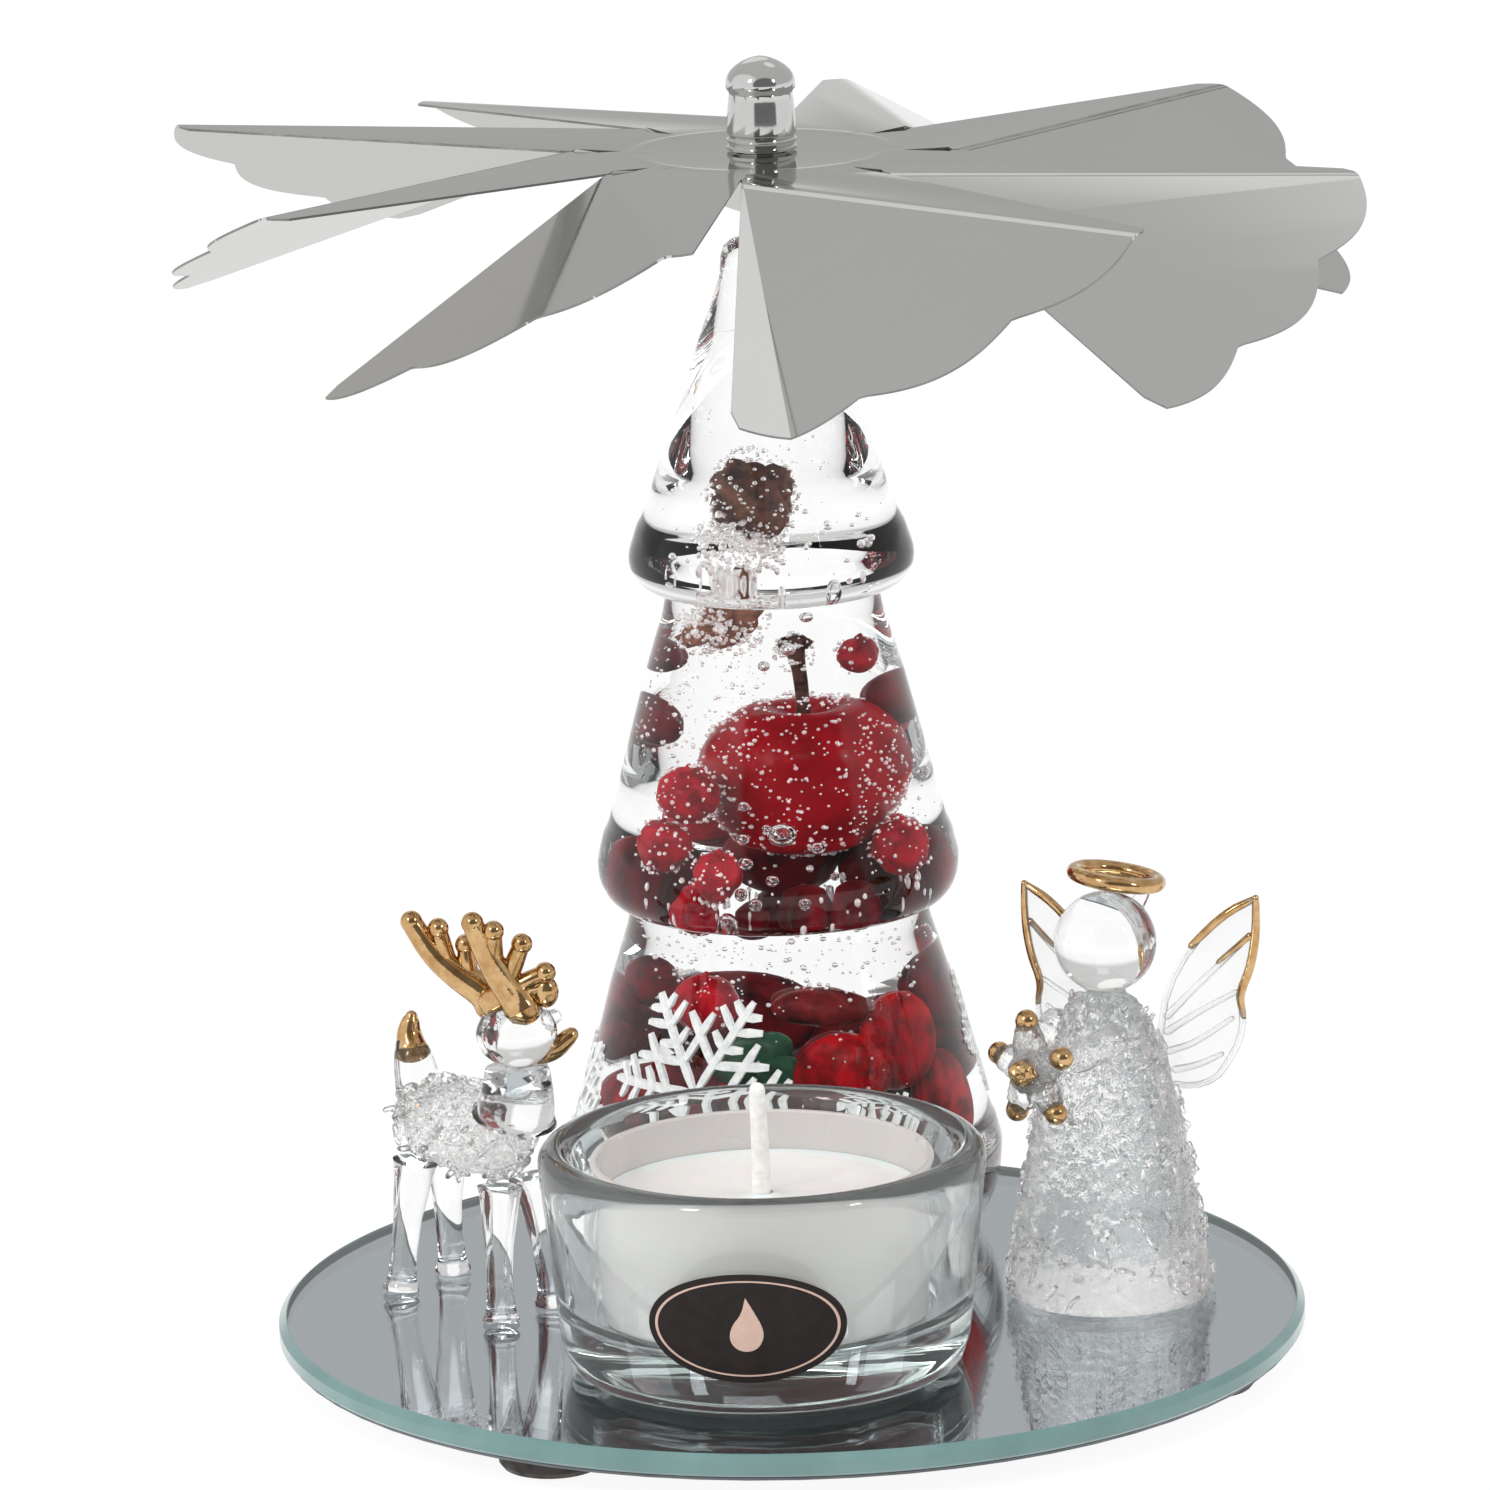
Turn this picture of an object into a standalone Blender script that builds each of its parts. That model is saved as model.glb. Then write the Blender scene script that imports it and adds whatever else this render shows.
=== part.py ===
"""Tealight carousel: a glass fir tree on a mirror plate carries a needle, and an eight-bladed rotor
turns on it in the warm air of a tealight. A glass reindeer and a glass angel stand beside the tree.

Frame: origin at the centre of the plate's underside, +Z up, -Y towards the tealight, metres.
"""

import math

import bmesh
import bpy
from mathutils import Matrix, Vector

MM = 0.001
GAP = 0.3 * MM  # between pieces that touch

# Driving dimensions
PLATE_RADIUS = 60.0 * MM
PLATE_TOP = 3.0 * MM
BACKING_THICKNESS = 0.3 * MM
FOOT_RADIUS = 6.0 * MM
FOOT_HEIGHT = 3.0 * MM
FOOT_CIRCLE = 51.0 * MM
FOOT_ANGLES = (57, 157, 237, 337)

TREE = Vector((0.0, 29.0 * MM, 0.0))
TREE_WALL = 3.0 * MM
# Each tier of the tree: neck below it, rim and the z of both, in millimetres
TIERS = ((21.3, 4.0, 26.0, 13.0), (17.8, 42.0, 21.5, 48.4), (12.7, 79.5, 16.9, 85.6))
NUB_RADIUS = 5.3 * MM
NUB_FOOT = 119.5 * MM
NUB_TOP = 123.8 * MM

DISC_UNDERSIDE = 133.6 * MM
DISC_THICKNESS = 0.4 * MM
BLADES = 8
FIRST_SLIT = math.radians(38)
SLIT_START = 22.5 * MM
SLIT_HALF_WIDTH = 0.25 * MM
LOBE_VALLEY = 69.0 * MM
LOBE_HEIGHT = 2.8 * MM
LOBE_PITCH = math.radians(15.6)
LOBE_SHIFT = math.radians(3.0)
FOLD_END = math.radians(43)
FOLD_RADIUS = 3.0 * MM
# Each hand-bent blade, from the first slit on: fold angle, rise of the blade's end in millimetres
BLADE_BENDS = ((28, -2.5), (27, -2.0), (27, 3.0), (23, 0.5), (29, 0.0), (28, -1.0), (29, -2.5), (26, 0.0))

NEEDLE_RADIUS = 0.6 * MM
NEEDLE_BOTTOM = 114.0 * MM
NEEDLE_TIP = 141.0 * MM

HOLDER = Vector((-3.3 * MM, -25.0 * MM, 0.0))
HOLDER_RIM = 29.3 * MM
HOLDER_RADIUS = 25.5 * MM
HOLDER_FLOOR = 9.6 * MM
CUP_RADIUS = 19.6 * MM
CUP_RIM = 27.5 * MM
WAX_TOP = 22.7 * MM
WICK_RADIUS = 1.1 * MM
WICK_TOP = 35.5 * MM

DEER = Vector((-36.9 * MM, 3.2 * MM, 0.0))
DEER_HEADING = math.radians(-49.4)
ANGEL = Vector((37.3 * MM, -0.8 * MM, 0.0))
ANGEL_HEADING = math.radians(218)


def clear_scene():
    for thing in list(bpy.data.objects):
        bpy.data.objects.remove(thing)


def material(name, colour, roughness, metallic=0.0):
    made = bpy.data.materials.new(name)
    made.use_nodes = True
    shader = made.node_tree.nodes["Principled BSDF"]
    shader.inputs["Base Color"].default_value = (*colour, 1.0)
    shader.inputs["Roughness"].default_value = roughness
    shader.inputs["Metallic"].default_value = metallic
    return made


def glass(name):
    return material(name, (0.86, 0.93, 0.92), 0.03)


def gold(name):
    return material(name, (0.72, 0.48, 0.2), 0.2, 1.0)


def red_fruit(name):
    return material(name, (0.45, 0.01, 0.02), 0.3)


def finish_mesh(mesh, name, paint, centre=(0, 0, 0)):
    """A new object from a bmesh, with its normals out and its origin at centre."""
    bmesh.ops.recalc_face_normals(mesh, faces=mesh.faces)
    data = bpy.data.meshes.new(name)
    mesh.to_mesh(data)
    mesh.free()
    data.shade_smooth()
    data.set_sharp_from_angle(angle=math.radians(35))
    data.materials.append(paint)
    thing = bpy.data.objects.new(name, data)
    thing.location = centre
    bpy.context.collection.objects.link(thing)
    return thing


def turned(name, outline, centre, paint, segments=32):
    """A turned solid from a closed outline of (radius, height) points in millimetres."""
    mesh = bmesh.new()
    rings = []
    for radius, height in outline:
        if radius < 1e-6:
            rings.append([mesh.verts.new((0, 0, height * MM))] * segments)
            continue
        ring = []
        for step in range(segments):
            turn = 2 * math.pi * step / segments
            x = radius * MM * math.cos(turn)
            y = radius * MM * math.sin(turn)
            ring.append(mesh.verts.new((x, y, height * MM)))
        rings.append(ring)
    for ring, following in zip(rings, rings[1:] + rings[:1]):
        for step in range(segments):
            after = (step + 1) % segments
            corners = []
            for corner in (ring[step], ring[after], following[after], following[step]):
                if corner not in corners:
                    corners.append(corner)
            if len(corners) > 2:
                mesh.faces.new(corners)
    return finish_mesh(mesh, name, paint, centre)


def arc(centre, radii, start, end, steps):
    """Points of an ellipse's arc, angles in degrees."""
    points = []
    for step in range(steps + 1):
        turn = math.radians(start + (end - start) * step / steps)
        points.append((centre[0] + radii[0] * math.cos(turn), centre[1] + radii[1] * math.sin(turn)))
    return points


def tube(name, route, radii, paint, sides=10):
    """A round bar through the route's points, in metres, with a radius at each point."""
    mesh = bmesh.new()
    route = [Vector(point) for point in route]
    rings = []
    across = None
    for index, (point, radius) in enumerate(zip(route, radii)):
        ahead = route[min(index + 1, len(route) - 1)]
        behind = route[max(index - 1, 0)]
        along = (ahead - behind).normalized()
        if across is None:
            across = along.orthogonal().normalized()
        across = (across - along * across.dot(along)).normalized()
        other = along.cross(across)
        ring = []
        for step in range(sides):
            turn = 2 * math.pi * step / sides
            offset = across * math.cos(turn) + other * math.sin(turn)
            ring.append(mesh.verts.new(point + offset * radius))
        rings.append(ring)
    for ring, following in zip(rings, rings[1:]):
        for step in range(sides):
            after = (step + 1) % sides
            mesh.faces.new((ring[step], ring[after], following[after], following[step]))
    mesh.faces.new(list(reversed(rings[0])))
    mesh.faces.new(rings[-1])
    return finish_mesh(mesh, name, paint)


def ellipsoid(name, centre, radii, paint, turn=None, level=3):
    mesh = bmesh.new()
    bmesh.ops.create_icosphere(mesh, subdivisions=level, radius=1.0)
    mesh.transform(Matrix.Diagonal((*radii, 1.0)))
    if turn is not None:
        mesh.transform(turn)
    return finish_mesh(mesh, name, paint, centre)


def flat_plate(name, outline, thickness, place, paint):
    """A flat plate from an outline of (x, z) points in metres, its mid-plane at y 0, then placed."""
    mesh = bmesh.new()
    corners = [mesh.verts.new((x, -thickness / 2, z)) for x, z in outline]
    face = mesh.faces.new(corners)
    grown = bmesh.ops.extrude_face_region(mesh, geom=[face])
    moved = [part for part in grown["geom"] if isinstance(part, bmesh.types.BMVert)]
    bmesh.ops.translate(mesh, vec=(0, thickness, 0), verts=moved)
    mesh.transform(place)
    return finish_mesh(mesh, name, paint)


def cut(target, cutter, operation="DIFFERENCE"):
    """A Boolean with a hidden helper."""
    cutter.hide_render = True
    cutter.display_type = "WIRE"
    step = target.modifiers.new(cutter.name, "BOOLEAN")
    step.operation = operation
    step.object = cutter
    step.solver = "EXACT"


# The base


def make_base():
    bevel = 0.7
    top = PLATE_TOP / MM
    low = (BACKING_THICKNESS + GAP) / MM
    wide = PLATE_RADIUS / MM
    outline = [(0, low), (wide - bevel / 2, low), (wide, low + bevel / 2)]
    outline += [(wide, top - bevel), (wide - bevel, top), (0, top)]
    turned("mirror_plate", outline, (0, 0, 0), glass("plate_glass"), 64)
    backing = wide - 0.6
    outline = [(0, 0), (backing, 0), (backing, BACKING_THICKNESS / MM), (0, BACKING_THICKNESS / MM)]
    turned("mirror_backing", outline, (0, 0, 0), material("silvering", (0.6, 0.63, 0.65), 0.3, 1.0), 64)
    radius = FOOT_RADIUS / MM
    low = -FOOT_HEIGHT / MM
    high = -GAP / MM
    outline = [(0, low), (radius - 1, low), (radius, low + 1), (radius, high), (0, high)]
    for number, angle in enumerate(FOOT_ANGLES, 1):
        turn = math.radians(angle)
        place = (FOOT_CIRCLE * math.cos(turn), FOOT_CIRCLE * math.sin(turn), 0)
        turned(f"foot_{number}", outline, place, material(f"foot_rubber_{number}", (0.05, 0.04, 0.04), 0.8), 20)


# The tree


def tier_outline(inset):
    """The tree's side from its foot up to the last rim and the nub, pulled in by inset, in millimetres."""
    points = []
    for index, (neck, neck_z, rim, rim_z) in enumerate(TIERS):
        neck = neck - inset
        rim = rim - inset
        points += arc((neck, rim_z), (rim - neck, rim_z - neck_z), -90, 0, 4)
        if index + 1 < len(TIERS):
            above, above_z = TIERS[index + 1][0] - inset, TIERS[index + 1][1]
        else:
            above, above_z = NUB_RADIUS / MM - inset / 2, NUB_FOOT / MM - inset * 2.5
        for share in (0.07, 0.16):
            ease = 0.25 * (1 - share / 0.16)
            points.append((rim + (above - rim) * share + ease, rim_z + (above_z - rim_z) * share))
        if index + 1 == len(TIERS):
            points.append((above, above_z))
        else:
            points.append((above + 0.25, above_z - 2.0))
    return points


def make_tree(decorations):
    clear = glass("tree_glass")
    wall = TREE_WALL / MM
    foot = PLATE_TOP / MM + GAP / MM
    opening = 17.3
    bore = (NEEDLE_RADIUS + GAP) / MM
    bore_floor = (NEEDLE_BOTTOM - GAP) / MM
    outer = [(19.5, foot)] + tier_outline(0.0)
    outer += [(4.4, NUB_TOP / MM - 1.0), (2.6, NUB_TOP / MM), (bore, NUB_TOP / MM)]
    inner = [point for point in tier_outline(wall) if point[1] > foot + 5]
    ceiling = inner[-1][1] + 1.2
    lining = [(0, ceiling)] + list(reversed(inner)) + [(opening, foot + 3.2), (opening, foot)]
    turned("tree_vessel", outer + [(bore, bore_floor), (0, bore_floor)] + lining, TREE, clear, 28)
    plug = opening - GAP / MM
    outline = [(0, foot), (plug, foot), (plug, foot + 2.6), (0, foot + 2.6)]
    turned("tree_plug", outline, TREE, material("plug_resin", (0.8, 0.84, 0.84), 0.1))
    core = [(radius - GAP / MM, height) for radius, height in inner]
    floor = foot + 2.6 + GAP / MM
    outline = [(0, floor), (opening - 0.9, floor), (opening - 0.4, floor + 0.6)] + core
    outline += [(0, ceiling - 2 * GAP / MM)]
    gel = turned("gel_filling", outline, TREE, material("clear_gel", (0.95, 0.96, 0.96), 0.02), 28)
    tip = NEEDLE_TIP / MM
    pin = NEEDLE_RADIUS / MM
    outline = [(0, NEEDLE_BOTTOM / MM), (pin, NEEDLE_BOTTOM / MM), (pin, tip - 2.0), (0.1, tip), (0, tip)]
    turned("needle", outline, TREE, material("needle_steel", (0.7, 0.7, 0.72), 0.2, 1.0), 12)
    for name, centre, radii, tilt in decorations:
        void_for(gel, name, centre, radii, tilt)


def tilt_matrix(tilt):
    """A turn about Y, in degrees."""
    return Matrix.Rotation(math.radians(tilt), 4, "Y")


def void_for(gel, name, centre, radii, tilt):
    """The room that a decoration takes in the gel, with a narrow vent out to the glass."""
    place = TREE + Vector(centre) * MM
    grown = [radius * MM + GAP for radius in radii]
    room = ellipsoid(f"room_{name}", place, grown, gel.data.materials[0], tilt_matrix(tilt), 2)
    cut(gel, room)
    outward = Vector((centre[0], centre[1], 0)).normalized()
    if outward.length < 0.5:
        outward = Vector((0, 1, 0))
    start = place + outward * radii[0] * 0.3 * MM
    vent = tube(f"vent_{name}", [start, place + outward * 30 * MM], [0.5 * MM] * 2, gel.data.materials[0], 6)
    cut(gel, vent)


# Name, centre from the tree's axis, radii and tilt, in millimetres and degrees
BERRIES = (
    ("berry_1", (-9.1, -6.5, 58.1), 3.4),
    ("berry_2", (-11.5, -5.0, 51.4), 3.0),
    ("berry_3", (-6.5, -11.0, 49.5), 2.6),
    ("berry_4", (-8.5, -7.5, 44.6), 2.8),
    ("berry_5", (8.0, -2.0, 73.5), 2.2),
    ("berry_6", (12.0, -4.0, 50.3), 3.2),
    ("berry_7", (-7.9, -8.0, 33.0), 3.6),
    ("berry_8", (-15.0, -2.0, 19.0), 3.5),
    ("berry_9", (-4.0, 11.0, 50.0), 3.4),
    ("berry_10", (6.0, 11.0, 47.0), 3.2),
)
FRUITS = (
    ("cranberry_slice", (4.0, -8.0, 31.0), (4.0, 3.2, 2.2), 8),
    ("rosehip_1", (5.0, -10.0, 24.0), (4.2, 3.0, 4.4), 0),
    ("rosehip_2", (12.5, -6.0, 28.0), (3.6, 3.0, 4.8), 10),
    ("rosehip_3", (16.0, -3.0, 18.0), (3.2, 3.2, 5.5), -10),
    ("rosehip_4", (-7.0, 9.0, 15.0), (4.5, 4.5, 5.0), 20),
)
APPLE = (2.5, 0.0, 58.5)
APPLE_RADII = (9.3, 9.3, 9.8)
ROSE_BUD = ((-1.6, -1.0, 92.0), (3.8, 3.8, 6.0), -12)
DRIED_PETAL = ((-3.6, -1.5, 79.6), (2.8, 2.0, 4.8), 20)
LEAF = ((-3.6, -9.0, 26.5), (3.8, 1.0, 2.6), -25)


def decorations():
    """Every piece that the gel holds, as name, centre, radii and tilt."""
    found = [(name, centre, (radius,) * 3, 0) for name, centre, radius in BERRIES]
    found += list(FRUITS)
    found.append(("apple", APPLE, [radius + 1.2 for radius in APPLE_RADII], 0))
    found.append(("apple_stem", (APPLE[0] - 0.4, APPLE[1], 71.0), (2.3, 2.3, 6.0), -6))
    found.append(("rose_bud", *ROSE_BUD))
    found.append(("dried_petal", *DRIED_PETAL))
    found.append(("leaf", *LEAF))
    return found


def make_decorations():
    for name, centre, radius in BERRIES:
        place = TREE + Vector(centre) * MM
        ellipsoid(name, place, [radius * MM] * 3, red_fruit(f"{name}_skin"), None, 2)
    for name, centre, radii, tilt in FRUITS:
        place = TREE + Vector(centre) * MM
        sizes = [radius * MM for radius in radii]
        ellipsoid(name, place, sizes, red_fruit(f"{name}_skin"), tilt_matrix(tilt), 2)
    around, _, tall = APPLE_RADII
    outline = [(0, -tall * 0.8), (around * 0.25, -tall * 0.9), (around * 0.62, -tall * 0.84)]
    outline += arc((0, 0), (around, tall), -42, 40, 5) + [(around * 0.55, tall * 0.88)]
    outline += [(around * 0.25, tall * 0.84), (0, tall * 0.66)]
    turned("apple", outline, TREE + Vector(APPLE) * MM, red_fruit("apple_skin"), 20)
    foot = TREE + Vector((APPLE[0], APPLE[1], APPLE[2] + APPLE_RADII[2] * 0.66 + 1.0)) * MM
    top = TREE + Vector((APPLE[0] - 0.7, APPLE[1], 74.4)) * MM
    brown = material("stem_bark", (0.12, 0.05, 0.03), 0.8)
    tube("apple_stem", [foot, (foot + top) / 2, top], [0.7 * MM, 0.6 * MM, 1.0 * MM], brown, 8)
    for name, (centre, radii, tilt), colour in (
        ("rose_bud", ROSE_BUD, (0.08, 0.04, 0.03)),
        ("dried_petal", DRIED_PETAL, (0.4, 0.2, 0.12)),
        ("leaf", LEAF, (0.02, 0.12, 0.05)),
    ):
        sizes = [radius * MM for radius in radii]
        place = TREE + Vector(centre) * MM
        ellipsoid(name, place, sizes, material(f"{name}_skin", colour, 0.7), tilt_matrix(tilt), 2)


# The rotor and its bearing


def rim_radius(angle):
    """The blade's flat outline: three lobes to a blade, angle from the blade's leading slit."""
    return LOBE_VALLEY + LOBE_HEIGHT * abs(math.sin(math.pi * (angle + LOBE_SHIFT) / LOBE_PITCH))


def blade_outline():
    """The flat sheet of one blade from the hub's ring outwards, its leading slit along +X."""
    pitch = 2 * math.pi / BLADES
    ring = 16.0 * MM
    notch = SLIT_START - 0.6 * MM
    points = [Vector((ring * math.cos(pitch * n / 3), ring * math.sin(pitch * n / 3))) for n in (0, 1, 2, 3)]
    points.append(Vector((notch * math.cos(pitch), notch * math.sin(pitch))))
    along = Vector((math.cos(pitch), math.sin(pitch)))
    aside = Vector((along.y, -along.x)) * SLIT_HALF_WIDTH
    points.append(along * SLIT_START + aside)
    points.append(along * (LOBE_VALLEY - 1.2 * MM) + aside)
    steps = 21
    for step in range(steps, -1, -1):
        angle = math.radians(1.0) + (pitch - math.radians(2.2)) * step / steps
        radius = rim_radius(angle)
        points.append(Vector((radius * math.cos(angle), radius * math.sin(angle))))
    points.append(Vector((LOBE_VALLEY - 0.8 * MM, SLIT_HALF_WIDTH)))
    points.append(Vector((SLIT_START, SLIT_HALF_WIDTH)))
    points.append(Vector((notch, 0)))
    return points


def fold_line():
    """A point on the blade's fold, its direction and the direction from it to the leading corner."""
    start = Vector((SLIT_START, SLIT_HALF_WIDTH))
    end = Vector((math.cos(FOLD_END), math.sin(FOLD_END))) * rim_radius(FOLD_END)
    along = (end - start).normalized()
    return start, along, Vector((along.y, -along.x))


def bent(point, fold_angle, rise):
    """Where a point of the flat blade goes once the blade is folded and its end is lifted."""
    start, along, across = fold_line()
    offset = Vector((point.x, point.y)) - start
    depth = offset.dot(across)
    height = 0.0
    flat = Vector((point.x, point.y))
    if depth > 0:
        turn = min(depth / FOLD_RADIUS, fold_angle)
        rest = max(0.0, depth - FOLD_RADIUS * fold_angle)
        reach = FOLD_RADIUS * math.sin(turn) + rest * math.cos(fold_angle)
        height = -FOLD_RADIUS * (1 - math.cos(turn)) - rest * math.sin(fold_angle)
        flat = start + along * offset.dot(along) + across * reach
    beyond = max(0.0, flat.length - SLIT_START) / (LOBE_VALLEY - SLIT_START)
    return Vector((flat.x, flat.y, height + rise * beyond))


def make_rotor():
    mesh = bmesh.new()
    pitch = 2 * math.pi / BLADES
    start, along, across = fold_line()
    inner = []
    hole = 3.3 * MM
    for number, (degrees, rise) in enumerate(BLADE_BENDS):
        fold_angle = math.radians(degrees)
        blade = bmesh.new()
        blade.faces.new([blade.verts.new((point.x, point.y, 0)) for point in blade_outline()])
        width = FOLD_RADIUS * fold_angle
        for depth in (0.0, width / 2, width, width + 16 * MM):
            place = start + across * depth
            everything = blade.verts[:] + blade.edges[:] + blade.faces[:]
            normal = (across.x, across.y, 0)
            bmesh.ops.bisect_plane(blade, geom=everything, plane_co=(*place, 0), plane_no=normal)
        for corner in blade.verts:
            corner.co = bent(corner.co, fold_angle, rise * MM)
        turn = Matrix.Rotation(FIRST_SLIT + pitch * number, 4, "Z")
        blade.transform(turn)
        data = bpy.data.meshes.new("blade")
        blade.to_mesh(data)
        blade.free()
        mesh.from_mesh(data)
        bpy.data.meshes.remove(data)
    bmesh.ops.remove_doubles(mesh, verts=mesh.verts, dist=0.01 * MM)
    ring = [edge for edge in mesh.edges if edge.is_boundary and is_on_ring(edge)]
    grown = bmesh.ops.extrude_edge_only(mesh, edges=ring)
    for part in grown["geom"]:
        if isinstance(part, bmesh.types.BMVert):
            inner.append(part)
    for corner in inner:
        corner.co = corner.co.normalized() * hole
    bmesh.ops.recalc_face_normals(mesh, faces=mesh.faces)
    bmesh.ops.solidify(mesh, geom=mesh.faces[:], thickness=DISC_THICKNESS)
    place = TREE + Vector((0, 0, DISC_UNDERSIDE + DISC_THICKNESS))
    finish_mesh(mesh, "rotor_disc", material("rotor_sheet", (0.72, 0.72, 0.72), 0.15, 1.0), place)


def is_on_ring(edge):
    return all(corner.co.length < 17 * MM for corner in edge.verts)


def make_bearing():
    chrome = material("cap_chrome", (0.75, 0.75, 0.77), 0.08, 1.0)
    base = (DISC_UNDERSIDE + DISC_THICKNESS) / MM
    seat = base + GAP / MM
    outline = [(2.4, base - 1.6), (3.0, base - 1.6), (3.0, seat), (4.1, seat), (4.1, seat + 0.9)]
    outline += [(3.9, seat + 1.1), (4.05, seat + 2.0), (4.0, seat + 4.8), (3.55, seat + 5.9)]
    outline += [(3.9, seat + 6.9), (3.6, seat + 8.2), (2.6, seat + 9.6), (1.4, seat + 10.6)]
    outline += [(0, seat + 10.9), (0, seat + 8.9), (2.4, seat + 8.9)]
    turned("bearing_cap", outline, TREE, chrome, 24)
    ring = DISC_UNDERSIDE / MM - GAP / MM
    outline = [(3.3, ring - 0.8), (5.0, ring - 0.8), (5.0, ring), (3.3, ring)]
    turned("retaining_ring", outline, TREE, material("ring_steel", (0.7, 0.7, 0.7), 0.25, 1.0), 24)
    top = seat + 8.6
    recess = NEEDLE_TIP / MM + GAP / MM
    outline = [(1.5, top - 7.6), (2.1, top - 7.6), (2.1, top), (0, top), (0, recess), (0.5, recess - 0.4)]
    turned("bearing_cup", outline + [(1.1, recess - 2.4)], TREE, glass("bearing_glass"), 24)


# The tealight and its holder


def make_holder():
    foot = (PLATE_TOP + GAP) / MM
    rim = HOLDER_RIM / MM
    wide = HOLDER_RADIUS / MM
    floor = HOLDER_FLOOR / MM
    outline = [(0, foot), (20.6, foot), (22.4, foot + 0.9), (23.2, foot + 2.8), (24.6, foot + 15)]
    outline += [(wide, rim - 1.9)] + arc((wide - 1.6, rim - 1.7), (1.6, 1.7), 15, 165, 5)
    outline += [(21.3, rim - 3.6), (20.4, floor + 1.2), (19.6, floor), (0, floor)]
    turned("tealight_holder", outline, HOLDER, glass("holder_glass"), 36)


def holder_radius(height):
    """The holder's outer radius beside the label, heights in metres."""
    low, high = 6.1 * MM, 18.3 * MM
    return (23.2 + 1.4 * (height - low) / (high - low)) * MM


def make_label():
    """A thin oval sticker that follows the holder's round side."""
    mesh = bmesh.new()
    middle = 14.6 * MM
    half_width, half_height = 10.7 * MM, 6.1 * MM
    facing = math.radians(-95.5)
    columns, rings = 24, 3
    grid = []
    for share in range(1, rings + 1):
        for step in range(columns):
            turn = 2 * math.pi * step / columns
            across = half_width * math.cos(turn) * share / rings
            height = middle + half_height * math.sin(turn) * share / rings
            grid.append(mesh.verts.new(on_holder(facing, across, height)))
    centre = mesh.verts.new(on_holder(facing, 0, middle))
    for step in range(columns):
        after = (step + 1) % columns
        mesh.faces.new((centre, grid[step], grid[after]))
        for ring in range(1, rings):
            low, high = (ring - 1) * columns, ring * columns
            mesh.faces.new((grid[low + step], grid[high + step], grid[high + after], grid[low + after]))
    bmesh.ops.recalc_face_normals(mesh, faces=mesh.faces)
    outward = Vector((math.cos(facing), math.sin(facing), 0))
    if centre.normal.dot(outward) < 0:
        bmesh.ops.reverse_faces(mesh, faces=mesh.faces)
    bmesh.ops.solidify(mesh, geom=mesh.faces[:], thickness=0.2 * MM)
    finish_mesh(mesh, "holder_label", material("label_foil", (0.04, 0.035, 0.04), 0.35), HOLDER)


def on_holder(facing, across, height):
    """A point just off the holder's side: across runs round it from facing."""
    radius = holder_radius(height) + 0.6 * MM
    turn = facing + across / radius
    return (radius * math.cos(turn), radius * math.sin(turn), height)


def make_tealight():
    foot = (HOLDER_FLOOR + GAP) / MM
    rim = CUP_RIM / MM
    wide = CUP_RADIUS / MM
    outline = [(0, foot), (18.2, foot), (18.9, foot + 0.7), (wide - 0.3, rim - 0.6), (wide, rim - 0.5)]
    outline += [(wide, rim), (wide - 0.8, rim), (18.4, foot + 1.0), (17.9, foot + 0.5), (0, foot + 0.5)]
    cup = material("cup_plastic", (0.85, 0.85, 0.84), 0.25)
    turned("tealight_cup", outline, HOLDER, cup, 32)
    low = foot + 0.5 + GAP / MM
    outline = [(0, low), (6.0, low), (6.0, low + 0.3), (1.6, low + 0.3), (1.6, low + 2.6)]
    tin = material("sustainer_tin", (0.6, 0.6, 0.6), 0.3, 1.0)
    turned("wick_sustainer", outline + [(1.4, low + 2.6), (1.4, low + 0.2), (0, low + 0.2)], HOLDER, tin, 20)
    top = WAX_TOP / MM
    outline = [(17.5, low), (18.0, low + 0.6), (18.3, top - 0.1), (18.0, top)]
    outline += [(1.5, top), (1.5, low + 3.0), (1.9, low + 3.0), (1.9, low + 0.7), (6.3, low + 0.6), (6.3, low)]
    turned("tealight_wax", outline, HOLDER, material("wax", (0.9, 0.89, 0.86), 0.4), 32)
    wick = WICK_RADIUS / MM
    end = WICK_TOP / MM
    outline = [(0, low + 0.5), (wick, low + 0.5), (wick, end - 0.2), (wick - 0.3, end), (0, end)]
    turned("wick", outline, HOLDER, material("wick_cotton", (0.88, 0.87, 0.84), 0.8), 12)


# The reindeer


def deer_point(ahead, left, height):
    """A point in metres from the reindeer's own directions, in millimetres."""
    forward = Vector((math.cos(DEER_HEADING), math.sin(DEER_HEADING), 0))
    side = Vector((-forward.y, forward.x, 0))
    return DEER + (forward * ahead + side * left) * MM + Vector((0, 0, height * MM))


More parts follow.
